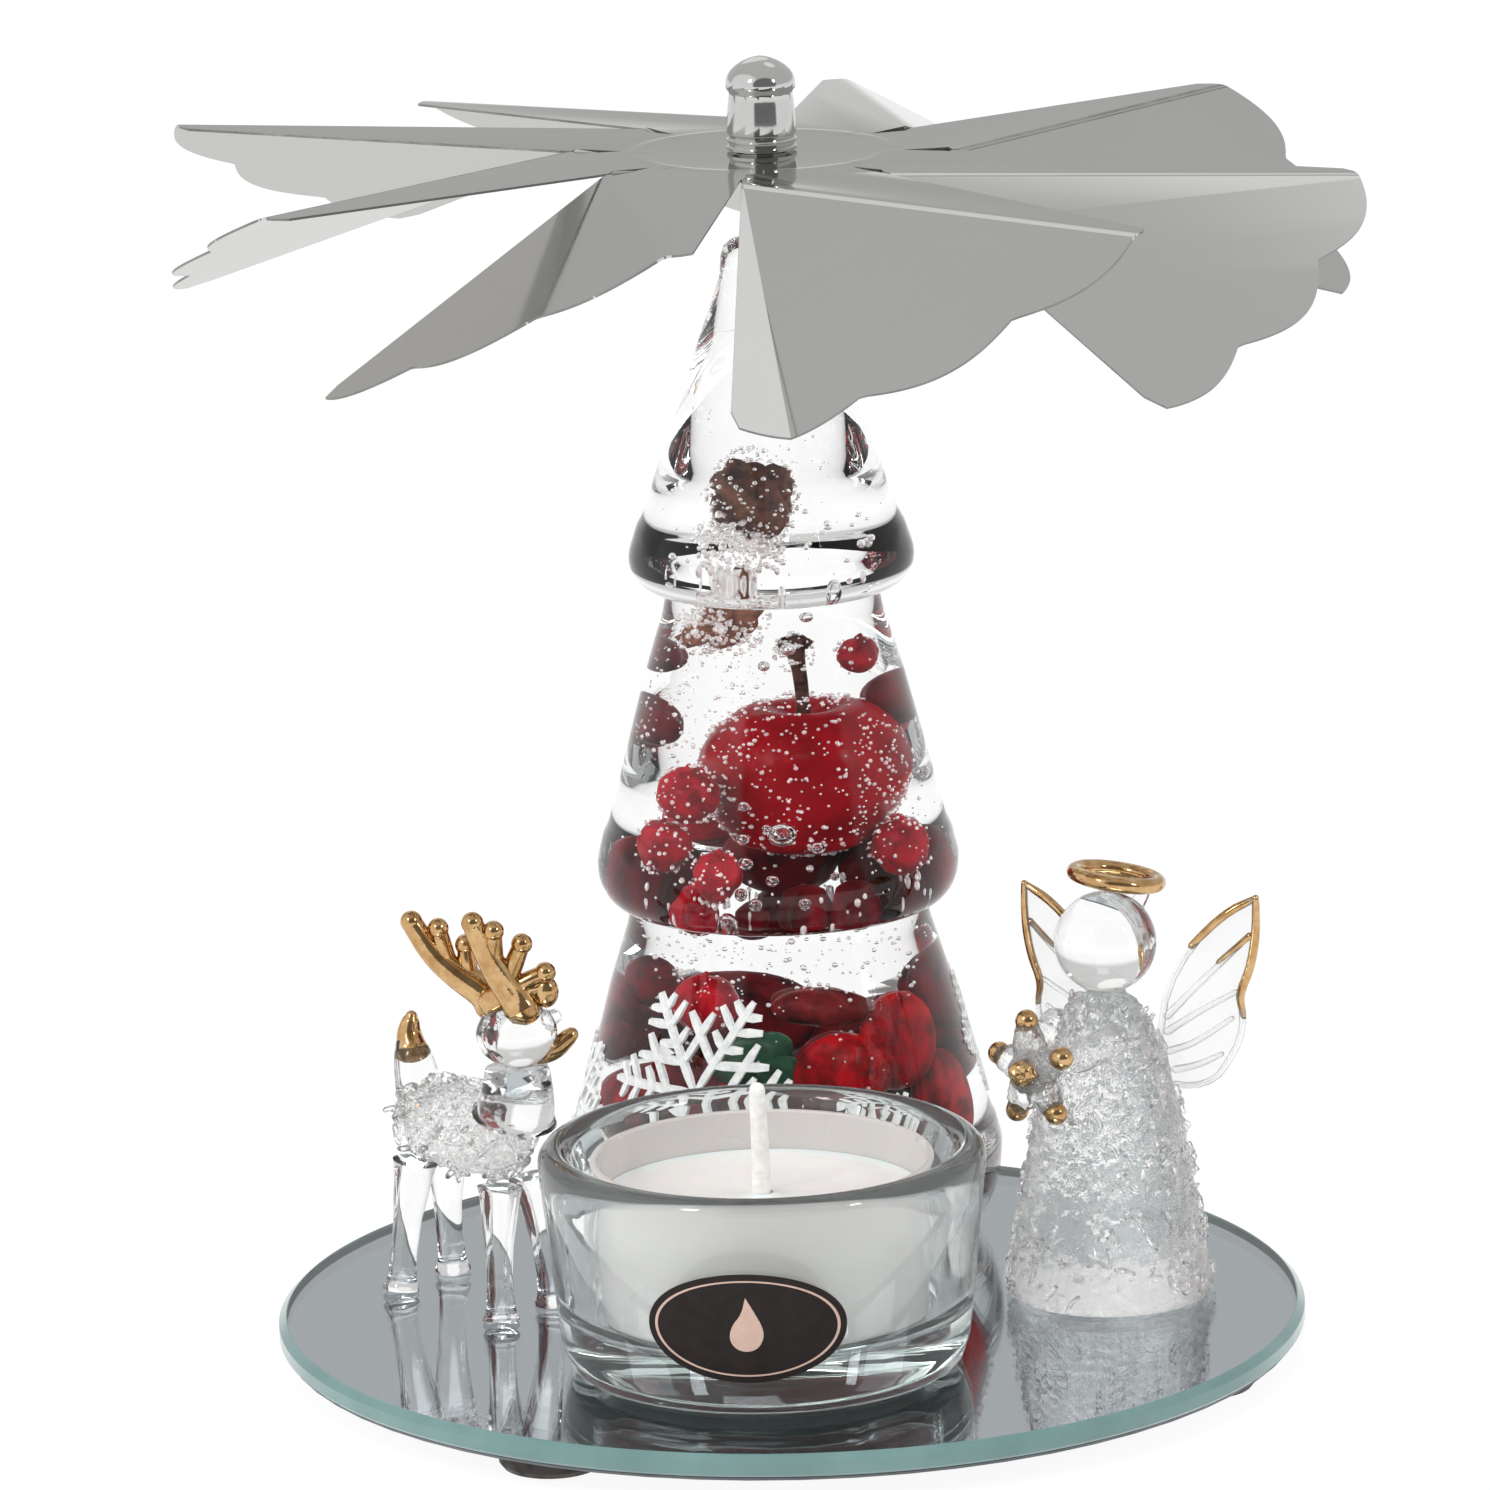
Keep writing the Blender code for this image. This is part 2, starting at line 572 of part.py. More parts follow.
def make_deer():
    turn = Matrix.Rotation(DEER_HEADING, 4, "Z")
    body = [radius * MM for radius in (11.2, 4.9, 5.3)]
    ellipsoid("deer_body", deer_point(-1.5, 0, 23.4), body, glass("deer_coat"), turn, 3)
    neck = [deer_point(8.6, 0, 29.0), deer_point(8.9, 0, 30.6), deer_point(8.6, 0, 32.3)]
    tube("deer_neck", neck, [3.6 * MM, 3.5 * MM, 3.0 * MM], glass("deer_neck_glass"), 12)
    head = [radius * MM for radius in (4.4, 4.0, 4.0)]
    ellipsoid("deer_head", deer_point(8.5, 0, 36.7), head, glass("deer_head_glass"), None, 3)
    snout = [deer_point(10.9, 4.3, 36.9), deer_point(11.3, 5.0, 36.7), deer_point(11.7, 5.8, 36.5)]
    tube("deer_snout", snout, [2.0 * MM, 1.9 * MM, 1.4 * MM], gold("deer_snout_gold"), 10)
    legs = ((-8.3, -4.7), (-10.1, 4.7), (9.8, -4.4), (8.7, 4.4))
    for number, (ahead, left) in enumerate(legs, 1):
        low = (PLATE_TOP + GAP) / MM
        inward = 0.62
        stations = ((low, 1.9), (low + 0.8, 1.6), (low + 7, 1.5), (low + 12, 2.1), (17.4, 2.3))
        route = []
        for height, _ in stations:
            lean = 1 - (1 - inward) * (height - low) / (17.4 - low)
            route.append(deer_point(ahead * (1 - (1 - lean) * 0.4), left * lean, height))
        radii = [radius * MM for _, radius in stations]
        tube(f"deer_leg_{number}", route, radii, glass(f"deer_leg_glass_{number}"), 10)
    tail = [deer_point(-10.6, 0, 29.3), deer_point(-11.4, 0.2, 32.0), deer_point(-11.0, 0.4, 34.8)]
    tube("deer_tail", tail, [1.9 * MM, 1.5 * MM, 0.6 * MM], gold("tail_gold"), 10)
    make_antler("deer_antler_left", Vector((-34.6, -1.2, 41.2)), LEFT_ANTLER)
    make_antler("deer_antler_right", Vector((-31.2, -4.6, 41.6)), RIGHT_ANTLER)


# Each antler: the beam's bends, then each tine's foot as a share of the beam, and its tip; millimetres
LEFT_ANTLER = (
    ((-3.2, 0.5, 2.0), (-6.2, 0.8, 4.6), (-8.4, 1.0, 8.4)),
    ((0.45, (-5.3, 0.6, 7.6)), (0.2, (-2.2, 0.6, 5.6))),
)
RIGHT_ANTLER = (
    ((-1.6, -0.8, 2.6), (-3.2, -1.2, 5.6), (-4.6, -1.6, 9.2)),
    ((0.5, (-2.2, -1.8, 8.2)), (0.2, (1.0, -1.0, 6.4)), (0.1, (3.6, -0.6, 2.8))),
)


def make_antler(name, foot, shape):
    beam, tines = shape
    route = [foot * MM] + [(foot + Vector(step)) * MM for step in beam]
    paint = gold(f"{name}_gold")
    antler = tube(name, route, [1.0 * MM, 0.95 * MM, 0.85 * MM, 0.95 * MM], paint, 8)
    for number, (share, tip) in enumerate(tines):
        place = share * (len(route) - 1)
        index = int(place)
        start = route[index].lerp(route[index + 1], place - index)
        end = (foot + Vector(tip)) * MM
        tine = tube(f"{name}_tine_{number}", [start, end], [0.8 * MM, 0.9 * MM], paint, 7)
        cut(antler, tine, "UNION")


# The angel


def angel_point(ahead, left, height):
    """A point in metres from the angel's own directions, in millimetres."""
    forward = Vector((math.cos(ANGEL_HEADING), math.sin(ANGEL_HEADING), 0))
    side = Vector((-forward.y, forward.x, 0))
    return ANGEL + (forward * ahead + side * left) * MM + Vector((0, 0, height * MM))


# A wing's outline from its root: outwards and up, in millimetres
WING = (
    (0, 0), (1.0, 6.0), (4.2, 11.5), (8.5, 15.6), (12.6, 17.6), (12.6, 13.0), (11.8, 8.5),
    (10.3, 5.2), (10.9, 2.4), (10.4, -0.6), (9.0, -3.2), (7.2, -5.6), (4.4, -6.6), (1.0, -6.2),
)


def make_wing(name, root, direction):
    mirrored = [(x * MM, z * MM) for x, z in WING]
    place = Matrix.Translation(root) @ Matrix.Rotation(direction, 4, "Z")
    flat_plate(name, mirrored, 1.0 * MM, place, glass(f"{name}_glass"))


def make_angel():
    foot = (PLATE_TOP + GAP) / MM
    outline = [(0, foot), (11.8, foot), (12.3, foot + 0.8), (11.6, 8), (10.5, 14), (9.1, 23.5)]
    outline += [(7.2, 31), (5.4, 35.6), (3.9, 38.0), (1.8, 38.9), (0, 38.9)]
    turned("angel_dress", outline, ANGEL, glass("dress_glass"), 28)
    head = ANGEL + Vector((0, 0, 45.2 * MM))
    ellipsoid("angel_head", head, [5.95 * MM] * 3, glass("head_glass"), None, 3)
    mesh = bmesh.new()
    steps, sides = 24, 8
    rings = []
    for step in range(steps):
        turn = 2 * math.pi * step / steps
        ring = []
        for side in range(sides):
            lift = 2 * math.pi * side / sides
            reach = (4.9 + 0.8 * math.cos(lift)) * MM
            ring.append(mesh.verts.new((reach * math.cos(turn), reach * math.sin(turn), 0.8 * MM * math.sin(lift))))
        rings.append(ring)
    for ring, following in zip(rings, rings[1:] + rings[:1]):
        for side in range(sides):
            after = (side + 1) % sides
            mesh.faces.new((ring[side], following[side], following[after], ring[after]))
    mesh.transform(Matrix.Rotation(math.radians(10), 4, "X") @ Matrix.Rotation(math.radians(9), 4, "Y"))
    halo = ANGEL + Vector((1.4 * MM, 0, 52.9 * MM))
    finish_mesh(mesh, "angel_halo", gold("halo_gold"), halo)
    make_wing("angel_wing_right", ANGEL + Vector((6.6, 6.6, 32.0)) * MM, math.radians(-6))
    make_wing("angel_wing_left", ANGEL + Vector((1.2, 9.6, 32.0)) * MM, math.radians(150))
    arms = [angel_point(7.9, 0, 31.8), angel_point(9.3, 0, 31.8)]
    tube("angel_arms", arms, [2.6 * MM, 2.2 * MM], glass("arms_glass"), 10)
    star = []
    for corner in range(10):
        turn = math.radians(90 + 36 * corner + 8)
        reach = (6.2 if corner % 2 == 0 else 3.4) * MM
        star.append((reach * math.cos(turn), reach * math.sin(turn)))
    place = Matrix.Translation(angel_point(11.4, 0, 31.8))
    place @= Matrix.Rotation(ANGEL_HEADING + math.radians(90), 4, "Z")
    flat_plate("angel_star", star, 3.0 * MM, place, glass("star_glass"))


clear_scene()
make_base()
make_tree(decorations())
make_decorations()
make_rotor()
make_bearing()
make_holder()
make_label()
make_tealight()
make_deer()
make_angel()
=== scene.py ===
"""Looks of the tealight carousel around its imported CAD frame.

Lengths in this script are millimetres in the frame's axes. They become metres as each mesh is made.
"""

import functools
import math
import random

import bmesh
import bpy
from mathutils import Matrix, Vector, noise


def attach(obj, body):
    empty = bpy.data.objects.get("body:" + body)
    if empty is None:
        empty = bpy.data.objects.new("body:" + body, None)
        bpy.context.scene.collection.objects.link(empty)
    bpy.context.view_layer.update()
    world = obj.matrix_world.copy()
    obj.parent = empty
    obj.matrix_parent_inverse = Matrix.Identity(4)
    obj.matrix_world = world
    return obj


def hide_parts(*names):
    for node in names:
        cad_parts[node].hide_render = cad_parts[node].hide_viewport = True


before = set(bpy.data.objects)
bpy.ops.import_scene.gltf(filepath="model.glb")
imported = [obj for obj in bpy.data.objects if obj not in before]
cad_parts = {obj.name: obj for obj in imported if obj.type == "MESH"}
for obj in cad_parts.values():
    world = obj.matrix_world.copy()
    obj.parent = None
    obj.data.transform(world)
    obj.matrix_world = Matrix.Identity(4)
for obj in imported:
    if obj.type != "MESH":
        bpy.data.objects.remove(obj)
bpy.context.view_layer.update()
scene = bpy.context.scene
dice = random.Random(11)
noise.seed_set(11)

MM = 0.001
GAP = 0.3
PLATE_RADIUS = 60.0
PLATE_TOP = 3.0
FOOT_ANGLES = (57, 157, 237, 337)
FOOT_CIRCLE = 51.0
FLOOR_HEIGHT = -3.05

TREE = Vector((0.0, 29.0, 0.0))
TREE_WALL = 3.0
TREE_FOOT = PLATE_TOP + GAP
# The tree's tiers from its foot up: radius and height of the neck under each, then of its rim
TIERS = ((21.3, 4.0, 26.0, 13.0), (17.8, 43.8, 21.5, 48.4), (12.7, 81.9, 16.9, 85.7))
NUB_RADIUS = 5.3
NUB_FOOT = 119.5
NUB_TOP = 123.8
TINY_BUBBLE = 0.16

DISC_TOP = 134.0
DISC_THICKNESS = 0.28
HUB_RADIUS = 16.6
BLADES = 8
BLADE_PITCH = 2 * math.pi / BLADES
FIRST_SLIT = math.radians(38)
SLIT_START = 22.5
SLIT_HALF_WIDTH = 0.25
LOBE_VALLEY = 69.0
LOBE_HEIGHT = 2.8
LOBE_PITCH = math.radians(15.6)
LOBE_SHIFT = math.radians(3.0)
FOLD_END = math.radians(43)
FOLD_RADIUS = 3.0
# Each hand-bent blade, from the first slit on: fold angle in degrees, rise of the blade's end
BLADE_BENDS = ((28, -2.5), (27, -2.0), (27, 3.0), (23, 0.5), (29, 0.0), (32, -1.0), (29, -2.5), (26, 0.0))
FRONT_BLADE = 5
CREASE_END = math.radians(5.6)
CREASE_TURN = math.radians(30)

HOLDER = Vector((-3.3, -25.0, 0.0))
HOLDER_RIM = 29.3
HOLDER_RADIUS = 25.5
HOLDER_FLOOR = 9.6
CUP_RADIUS = 19.6
CUP_RIM = 27.5
WAX_TOP = 22.7
WICK_TOP = 35.5
LABEL_FACING = math.radians(-95.5)
LABEL_MIDDLE = 14.6

DEER = Vector((-36.9, 3.2, 0.0))
DEER_HEADING = math.radians(-49.4)
ANGEL = Vector((37.3, -0.8, 0.0))
ANGEL_HEADING = math.radians(218)


# Materials


def add(tree, kind, inputs=None, **settings):
    """A shader node with its settings, and with its inputs given as values or as sockets to link."""
    made = tree.nodes.new("ShaderNode" + kind)
    for key, value in settings.items():
        setattr(made, key, value)
    for key, value in (inputs or {}).items():
        if isinstance(value, bpy.types.NodeSocket):
            tree.links.new(value, made.inputs[key])
        else:
            made.inputs[key].default_value = value
    return made


def start_material(name):
    made = bpy.data.materials.new(name)
    made.use_nodes = True
    tree = made.node_tree
    return made, tree, tree.nodes["Principled BSDF"]


def grain_of(tree, size, detail=3.0):
    """A noise whose patches are about size across, fixed to the object."""
    place = add(tree, "TexCoord").outputs["Object"]
    inputs = {"Vector": place, "Scale": 1000.0 / size, "Detail": detail, "Roughness": 0.55}
    return add(tree, "TexNoise", inputs).outputs["Fac"]


def bump_on(tree, shader, height, strength, distance):
    bump = add(tree, "Bump", {"Height": height, "Strength": strength, "Distance": distance * MM})
    tree.links.new(bump.outputs["Normal"], shader.inputs["Normal"])


def blend_of(tree, factor, first, second):
    """Two colours mixed by a socket."""
    mix = add(tree, "Mix", data_type="RGBA")
    tree.links.new(factor, mix.inputs["Factor"])
    mix.inputs[6].default_value = (*first, 1.0)
    mix.inputs[7].default_value = (*second, 1.0)
    return mix.outputs[2]


def paint(name, colour, roughness, other, size=3.0, metallic=0.0, bump=0.0, bump_size=0.6, **extra):
    """An opaque finish: its colour drifts towards other in patches, and its roughness with it."""
    made, tree, shader = start_material(name)
    patches = grain_of(tree, size)
    contrast = add(tree, "MapRange", {"Value": patches, "From Min": 0.36, "From Max": 0.66})
    tree.links.new(blend_of(tree, contrast.outputs["Result"], colour, other), shader.inputs["Base Color"])
    span = {"Value": patches, "From Min": 0.3, "From Max": 0.7}
    span.update({"To Min": roughness * 0.8, "To Max": min(1.0, roughness * 1.25)})
    tree.links.new(add(tree, "MapRange", span).outputs["Result"], shader.inputs["Roughness"])
    shader.inputs["Metallic"].default_value = metallic
    for key, value in extra.items():
        shader.inputs[key.replace("_", " ").title().replace("Ior", "IOR")].default_value = value
    if bump:
        bump_on(tree, shader, grain_of(tree, bump_size), 0.5, bump)
    return made


def skin(name, colour, roughness, other, size, bump, bump_size=0.6, gloss=0.08):
    """A fruit's skin, dull because it lies in the gel."""
    surface = {"bump": bump, "bump_size": bump_size, "specular_ior_level": gloss}
    return paint(name, colour, roughness, other, size, **surface)


def glass(name, tint, ior=1.5, roughness=0.0, ripple=0.0, size=5.0, veil=0.93, depth=0.0, milk=0.0):
    """Clear glass that lets light through to what is inside it.

    ripple is the height of its waves and size their width. veil is the light that passes on into a
    shadow, depth how much a metre of glass darkens towards green, and milk how much of it scatters.
    """
    made, tree, shader = start_material(name)
    shader.inputs["Base Color"].default_value = (*tint, 1.0)
    shader.inputs["Transmission Weight"].default_value = 1.0 - milk
    shader.inputs["IOR"].default_value = ior
    shader.inputs["Roughness"].default_value = roughness
    if ripple:
        bump_on(tree, shader, grain_of(tree, size, 2.0), 0.6, ripple)
    clear = add(tree, "BsdfTransparent", {"Color": (veil, veil, veil, 1.0)})
    mix = add(tree, "MixShader", {"Fac": add(tree, "LightPath").outputs["Is Shadow Ray"]})
    tree.links.new(shader.outputs["BSDF"], mix.inputs[1])
    tree.links.new(clear.outputs["BSDF"], mix.inputs[2])
    output = tree.nodes["Material Output"]
    tree.links.new(mix.outputs["Shader"], output.inputs["Surface"])
    if depth:
        body = add(tree, "VolumeAbsorption", {"Color": (0.45, 0.83, 0.76, 1.0), "Density": depth})
        tree.links.new(body.outputs["Volume"], output.inputs["Volume"])
    return made


PLATE_GLASS = glass("plate_glass", (0.97, 0.99, 0.985), depth=8.0)
EDGE_GLASS = paint("ground_edge", (0.15, 0.27, 0.26), 0.22, (0.12, 0.225, 0.215), 9.0, coat_weight=0.6)
SILVER = paint("silver_coat", (0.56, 0.59, 0.625), 0.012, (0.55, 0.58, 0.615), 30.0, 1.0)
BACK_PAINT = paint("back_paint", (0.16, 0.18, 0.19), 0.55, (0.12, 0.13, 0.14), 6.0, bump=0.05)
RUBBER = paint("foot_rubber", (0.045, 0.034, 0.03), 0.6, (0.02, 0.016, 0.015), 1.5, bump=0.06)
TREE_GLASS = glass("tree_glass", (0.985, 0.992, 0.99), 1.42, ripple=0.05, size=14.0, veil=0.96)
# What lies in the glass has the refraction of its step from the glass, below 1
GEL = glass("clear_gel", (0.99, 0.99, 0.99), 0.975, ripple=0.03, size=6.0, veil=0.98)
AIR = glass("air_bubble", (1.0, 1.0, 1.0), 0.69, veil=1.0)
FROTH = glass("air_froth", (1.0, 0.99, 0.985), 0.69, veil=1.0, milk=0.28)
PLUG = paint("plug_resin", (0.7, 0.74, 0.74), 0.2, (0.6, 0.64, 0.64), 8.0)
ENAMEL = paint("snow_enamel", (0.9, 0.91, 0.9), 0.42, (0.72, 0.74, 0.74), 0.8, bump=0.12, bump_size=0.5)
APPLE_SKIN = skin("apple_skin", (0.33, 0.002, 0.008), 0.22, (0.17, 0.001, 0.004), 7.0, 0.04, 1.2)
BERRY_SKIN = skin("berry_skin", (0.42, 0.006, 0.018), 0.28, (0.14, 0.002, 0.006), 2.2, 0.12, 0.7)
HIP_SKIN = skin("rosehip_skin", (0.4, 0.003, 0.008), 0.3, (0.1, 0.001, 0.002), 2.6, 0.1, 1.0, 0.1)
# A darker copy of the fruit skins, nearly black in its patches: painted shade for the fruit packed between
# and behind the others
PACKED_SKIN_PAINTED_SHADE = skin("packed_skin_painted_shade", (0.15, 0.002, 0.006), 0.4, (0.018, 0.001, 0.0015), 3.6, 0.12, 1.0)
CRANBERRY = skin("cranberry_skin", (0.16, 0.012, 0.012), 0.35, (0.05, 0.006, 0.006), 2.0, 0.1)
BARK = paint("dried_bark", (0.1, 0.03, 0.018), 0.75, (0.02, 0.008, 0.006), 1.1, bump=0.3)
PETAL = paint("dried_petal", (0.3, 0.1, 0.05), 0.6, (0.09, 0.02, 0.012), 1.4, bump=0.2)
BUD = paint("bud_skin", (0.035, 0.012, 0.01), 0.6, (0.2, 0.075, 0.045), 2.2, bump=0.3, bump_size=0.8)
LEAF_GREEN = paint("leaf_green", (0.01, 0.075, 0.03), 0.4, (0.004, 0.03, 0.014), 1.5, bump=0.12)
SHEET = paint(
    "rotor_sheet", (0.62, 0.615, 0.605), 0.06, (0.6, 0.595, 0.585), 60.0, 1.0,
    specular_tint=(0.76, 0.76, 0.75, 1.0),
)
CUT_EDGE = paint("sheet_edge", (0.3, 0.3, 0.295), 0.35, (0.24, 0.24, 0.235), 4.0, 1.0)
CHROME = paint("cap_chrome", (0.62, 0.62, 0.61), 0.07, (0.56, 0.56, 0.555), 5.0, 1.0, 0.02, 2.5)
STEEL = paint("needle_steel", (0.62, 0.62, 0.63), 0.2, (0.5, 0.5, 0.52), 1.0, 1.0)
HOLDER_GLASS = glass("holder_glass", (0.95, 0.968, 0.96), ripple=0.09, size=9.0, depth=5.0, milk=0.035)
CUP = paint(
    "cup_plastic", (0.585, 0.567, 0.553), 0.3, (0.54, 0.525, 0.51), 20.0,
    coat_weight=0.5, subsurface_weight=0.3, subsurface_scale=0.001,
)
WAX = paint(
    "wax", (0.84, 0.82, 0.8), 0.42, (0.8, 0.78, 0.76), 7.0,
    bump=0.06, bump_size=2.5, subsurface_weight=0.5, subsurface_scale=0.0015,
)
COTTON = paint("wick_cotton", (0.9, 0.89, 0.86), 0.7, (0.78, 0.77, 0.74), 0.8, bump=0.05, bump_size=0.5)
TIN = paint("sustainer_tin", (0.6, 0.6, 0.6), 0.3, (0.5, 0.5, 0.5), 2.0, 1.0)
FOIL = paint("label_foil", (0.017, 0.011, 0.01), 0.4, (0.012, 0.008, 0.0075), 2.0, specular_ior_level=0.25)
ROSE_INK = paint("label_line", (0.66, 0.46, 0.38), 0.35, (0.58, 0.4, 0.33), 2.0)
FIGURE_GLASS = glass("figure_glass", (0.985, 0.99, 0.985), ripple=0.05, size=4.0)
SPUN_GLASS = glass("spun_glass", (0.99, 0.99, 0.985), ripple=0.3, size=0.9, milk=0.035)
WING_GLASS = glass("wing_glass", (0.93, 0.935, 0.935), roughness=0.01, ripple=0.1, size=3.0, milk=0.1)
GOLD = paint("gold_lustre", (0.68, 0.45, 0.225), 0.1, (0.5, 0.29, 0.12), 1.6, 1.0, 0.05, 0.9)


# Shapes. Each add_ function puts a shape into a bmesh.


def ray(angle):
    """The flat direction at an angle from +X."""
    return Vector((math.cos(angle), math.sin(angle)))


def polar(radius, turn, height=0.0):
    return Vector((radius * math.cos(turn), radius * math.sin(turn), height))


def circle(steps):
    """Cosine and sine at each of the steps round a circle."""
    turns = [2 * math.pi * step / steps for step in range(steps)]
    return [(math.cos(turn), math.sin(turn)) for turn in turns]


def join_rings(mesh, ring, following):
    """Faces between two rings of as many points. Where points coincide, a triangle or nothing."""
    for step, corner in enumerate(ring):
        after = (step + 1) % len(ring)
        corners = list(dict.fromkeys((corner, ring[after], following[after], following[step])))
        if len(corners) > 2:
            mesh.faces.new(corners)


def add_slab(mesh, front, back):
    """A thin solid between two outlines of as many points."""
    mesh.faces.new(front)
    mesh.faces.new(back[::-1])
    join_rings(mesh, back, front)


def add_turned(mesh, outline, centre, segments=96, wobble=0.0):
    """A turned solid from a closed outline of (radius, height) points. wobble is its unevenness."""
    rings = []
    for radius, height in outline:
        if radius == 0:
            rings.append([mesh.verts.new((centre[0], centre[1], centre[2] + height))] * segments)
            continue
        ring = []
        for step in range(segments):
            turn = 2 * math.pi * step / segments
            reach = radius + wobble * math.sin(3 * turn + height * 0.11) * math.sin(2 * turn + 1.3)
            x, y = centre[0] + reach * math.cos(turn), centre[1] + reach * math.sin(turn)
            ring.append(mesh.verts.new((x, y, centre[2] + height)))
        rings.append(ring)
    for ring, following in zip(rings, rings[1:] + rings[:1]):
        join_rings(mesh, ring, following)


def arc(centre, radii, start, end, steps):
    points = []
    for step in range(steps + 1):
        turn = math.radians(start + (end - start) * step / steps)
        points.append((centre[0] + radii[0] * math.cos(turn), centre[1] + radii[1] * math.sin(turn)))
    return points


def softened(points, rounds=2):
    """An open line with its inner corners cut, the ends kept."""
    for _ in range(rounds):
        cut = [Vector(points[0])]
        for first, second in zip(points, points[1:]):
            first, second = Vector(first), Vector(second)
            cut += [first.lerp(second, 0.25), first.lerp(second, 0.75)]
        points = cut + [Vector(points[-1])]
    return points


def radius_at(side, height):
    """The radius at a height, read from a side's (radius, height) points."""
    for (low_r, low_z), (high_r, high_z) in zip(side, side[1:]):
        if low_z <= height <= high_z and high_z > low_z:
            return low_r + (high_r - low_r) * (height - low_z) / (high_z - low_z)
    return side[-1][0]


def spread(values, count):
    """The values drawn out to count of them, evenly spaced."""
    out = []
    for step in range(count):
        place = step / (count - 1) * (len(values) - 1)
        low = min(int(place), len(values) - 2)
        out.append(values[low] + (values[low + 1] - values[low]) * (place - low))
    return out


def scaled(point, factors):
    return Vector([part * factor for part, factor in zip(point, factors)])


def add_tube(mesh, route, radii, sides=16, closed=False, smooth=2, round_ends=True):
    """A round bar along the route, with radii given at its bends."""
    if not closed and len(route) > 2:
        route = softened(route, smooth)
    route = [Vector(point) for point in route]
    radii = spread(list(radii), len(route)) if len(radii) > 1 else [radii[0]] * len(route)
    if round_ends and not closed:
        # A domed end, then the bar is turned round for its other end
        for _ in range(2):
            end, size = route[-1], radii[-1]
            outward = (end - route[-2]).normalized() * size
            for rise, wide in ((0.5, 0.86), (0.86, 0.5), (0.98, 0.16)):
                route.append(end + outward * rise)
                radii.append(size * wide)
            route.reverse()
            radii.reverse()
    rings = []
    across = None
    last = len(route) - 1
    for index, (point, radius) in enumerate(zip(route, radii)):
        ahead = route[0 if closed and index == last else min(index + 1, last)]
        behind = route[index - 1 if closed else max(index - 1, 0)]
        along = (ahead - behind).normalized()
        if across is None:
            across = along.orthogonal().normalized()
        across = (across - along * across.dot(along)).normalized()
        other = along.cross(across)
        rings.append([mesh.verts.new(point + (across * x + other * y) * radius) for x, y in circle(sides)])
    for ring, following in zip(rings, rings[1:] + rings[:1] if closed else rings[1:]):
        join_rings(mesh, ring, following)
    if not closed:
        mesh.faces.new(rings[0][::-1])
        mesh.faces.new(rings[-1])


@functools.cache
def unit_ball(level):
    """The points and faces of a ball of radius 1."""
    mesh = bmesh.new()
    bmesh.ops.create_icosphere(mesh, subdivisions=level, radius=1.0)
    mesh.verts.index_update()
    points = [corner.co.normalized() for corner in mesh.verts]
    faces = [[corner.index for corner in face.verts] for face in mesh.faces]
    mesh.free()
    return points, faces


def add_ball(mesh, centre, radii, level=4, turn=None, shape=None):
    """A ball or ellipsoid. shape(direction) may scale each of its points."""
    points, faces = unit_ball(level)
    centre = Vector(centre)
    made = []
    for unit in points:
        point = scaled(unit * shape(unit) if shape else unit, radii)
        made.append(mesh.verts.new((turn @ point if turn else point) + centre))
    for face in faces:
        mesh.faces.new([made[index] for index in face])


def linked(name, data):
    """An object with the data, put in the scene."""
    made = bpy.data.objects.new(name, data)
    scene.collection.objects.link(made)
    return made


def piece(name, mesh, finish, node=None, body="base", sharp=35):
    """The object made from a bmesh: it rides on its body and stands for its CAD node, if it has one."""
    bmesh.ops.recalc_face_normals(mesh, faces=mesh.faces)
    mesh.transform(Matrix.Scale(MM, 4))
    data = bpy.data.meshes.new(name)
    mesh.to_mesh(data)
    mesh.free()
    data.shade_smooth()
    data.set_sharp_from_angle(angle=math.radians(sharp))
    for layer in finish if isinstance(finish, (list, tuple)) else [finish]:
        data.materials.append(layer)
    made = linked(name, data)
    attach(made, body)
    if node:
        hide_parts(node)


def turned_piece(name, outline, centre, finish, node=None, slot=None, body="base", **shape):
    mesh = bmesh.new()
    add_turned(mesh, outline, centre, **shape)
    piece(name, mesh, finish, node, body)


def tube_piece(name, route, radii, sides, finish, node=None, slot=None, **shape):
    mesh = bmesh.new()
    add_tube(mesh, route, radii, sides, **shape)
    piece(name, mesh, finish, node)


def crush(mesh, size, height, keep_above=-math.inf):
    """Pushes a fine mesh's points in and out, as melted glass threads lie."""
    mesh.normal_update()
    moves = []
    for corner in mesh.verts:
        spot = corner.co / size
        swirled = spot + noise.noise_vector(spot * 0.7) * 0.8
        ridge = 1 - abs(noise.noise(swirled)) * 2.4
        ridge = max(ridge, 1 - abs(noise.noise(swirled + Vector((17, 5, 3)))) * 2.4)
        fine = noise.noise(spot * 3.1) * 0.3
        moves.append(corner.normal * height * (ridge - 0.6 + fine) if corner.co.z > keep_above else Vector())
    for corner, move in zip(mesh.verts, moves):
        corner.co += move


def point_maker(place, heading):
    """A function that turns a figure's own directions into a point."""
    forward = polar(1.0, heading)
    side = Vector((-forward.y, forward.x, 0))

    def point(ahead, left, height):
        return place + forward * ahead + side * left + Vector((0, 0, height))

    return point


# The base


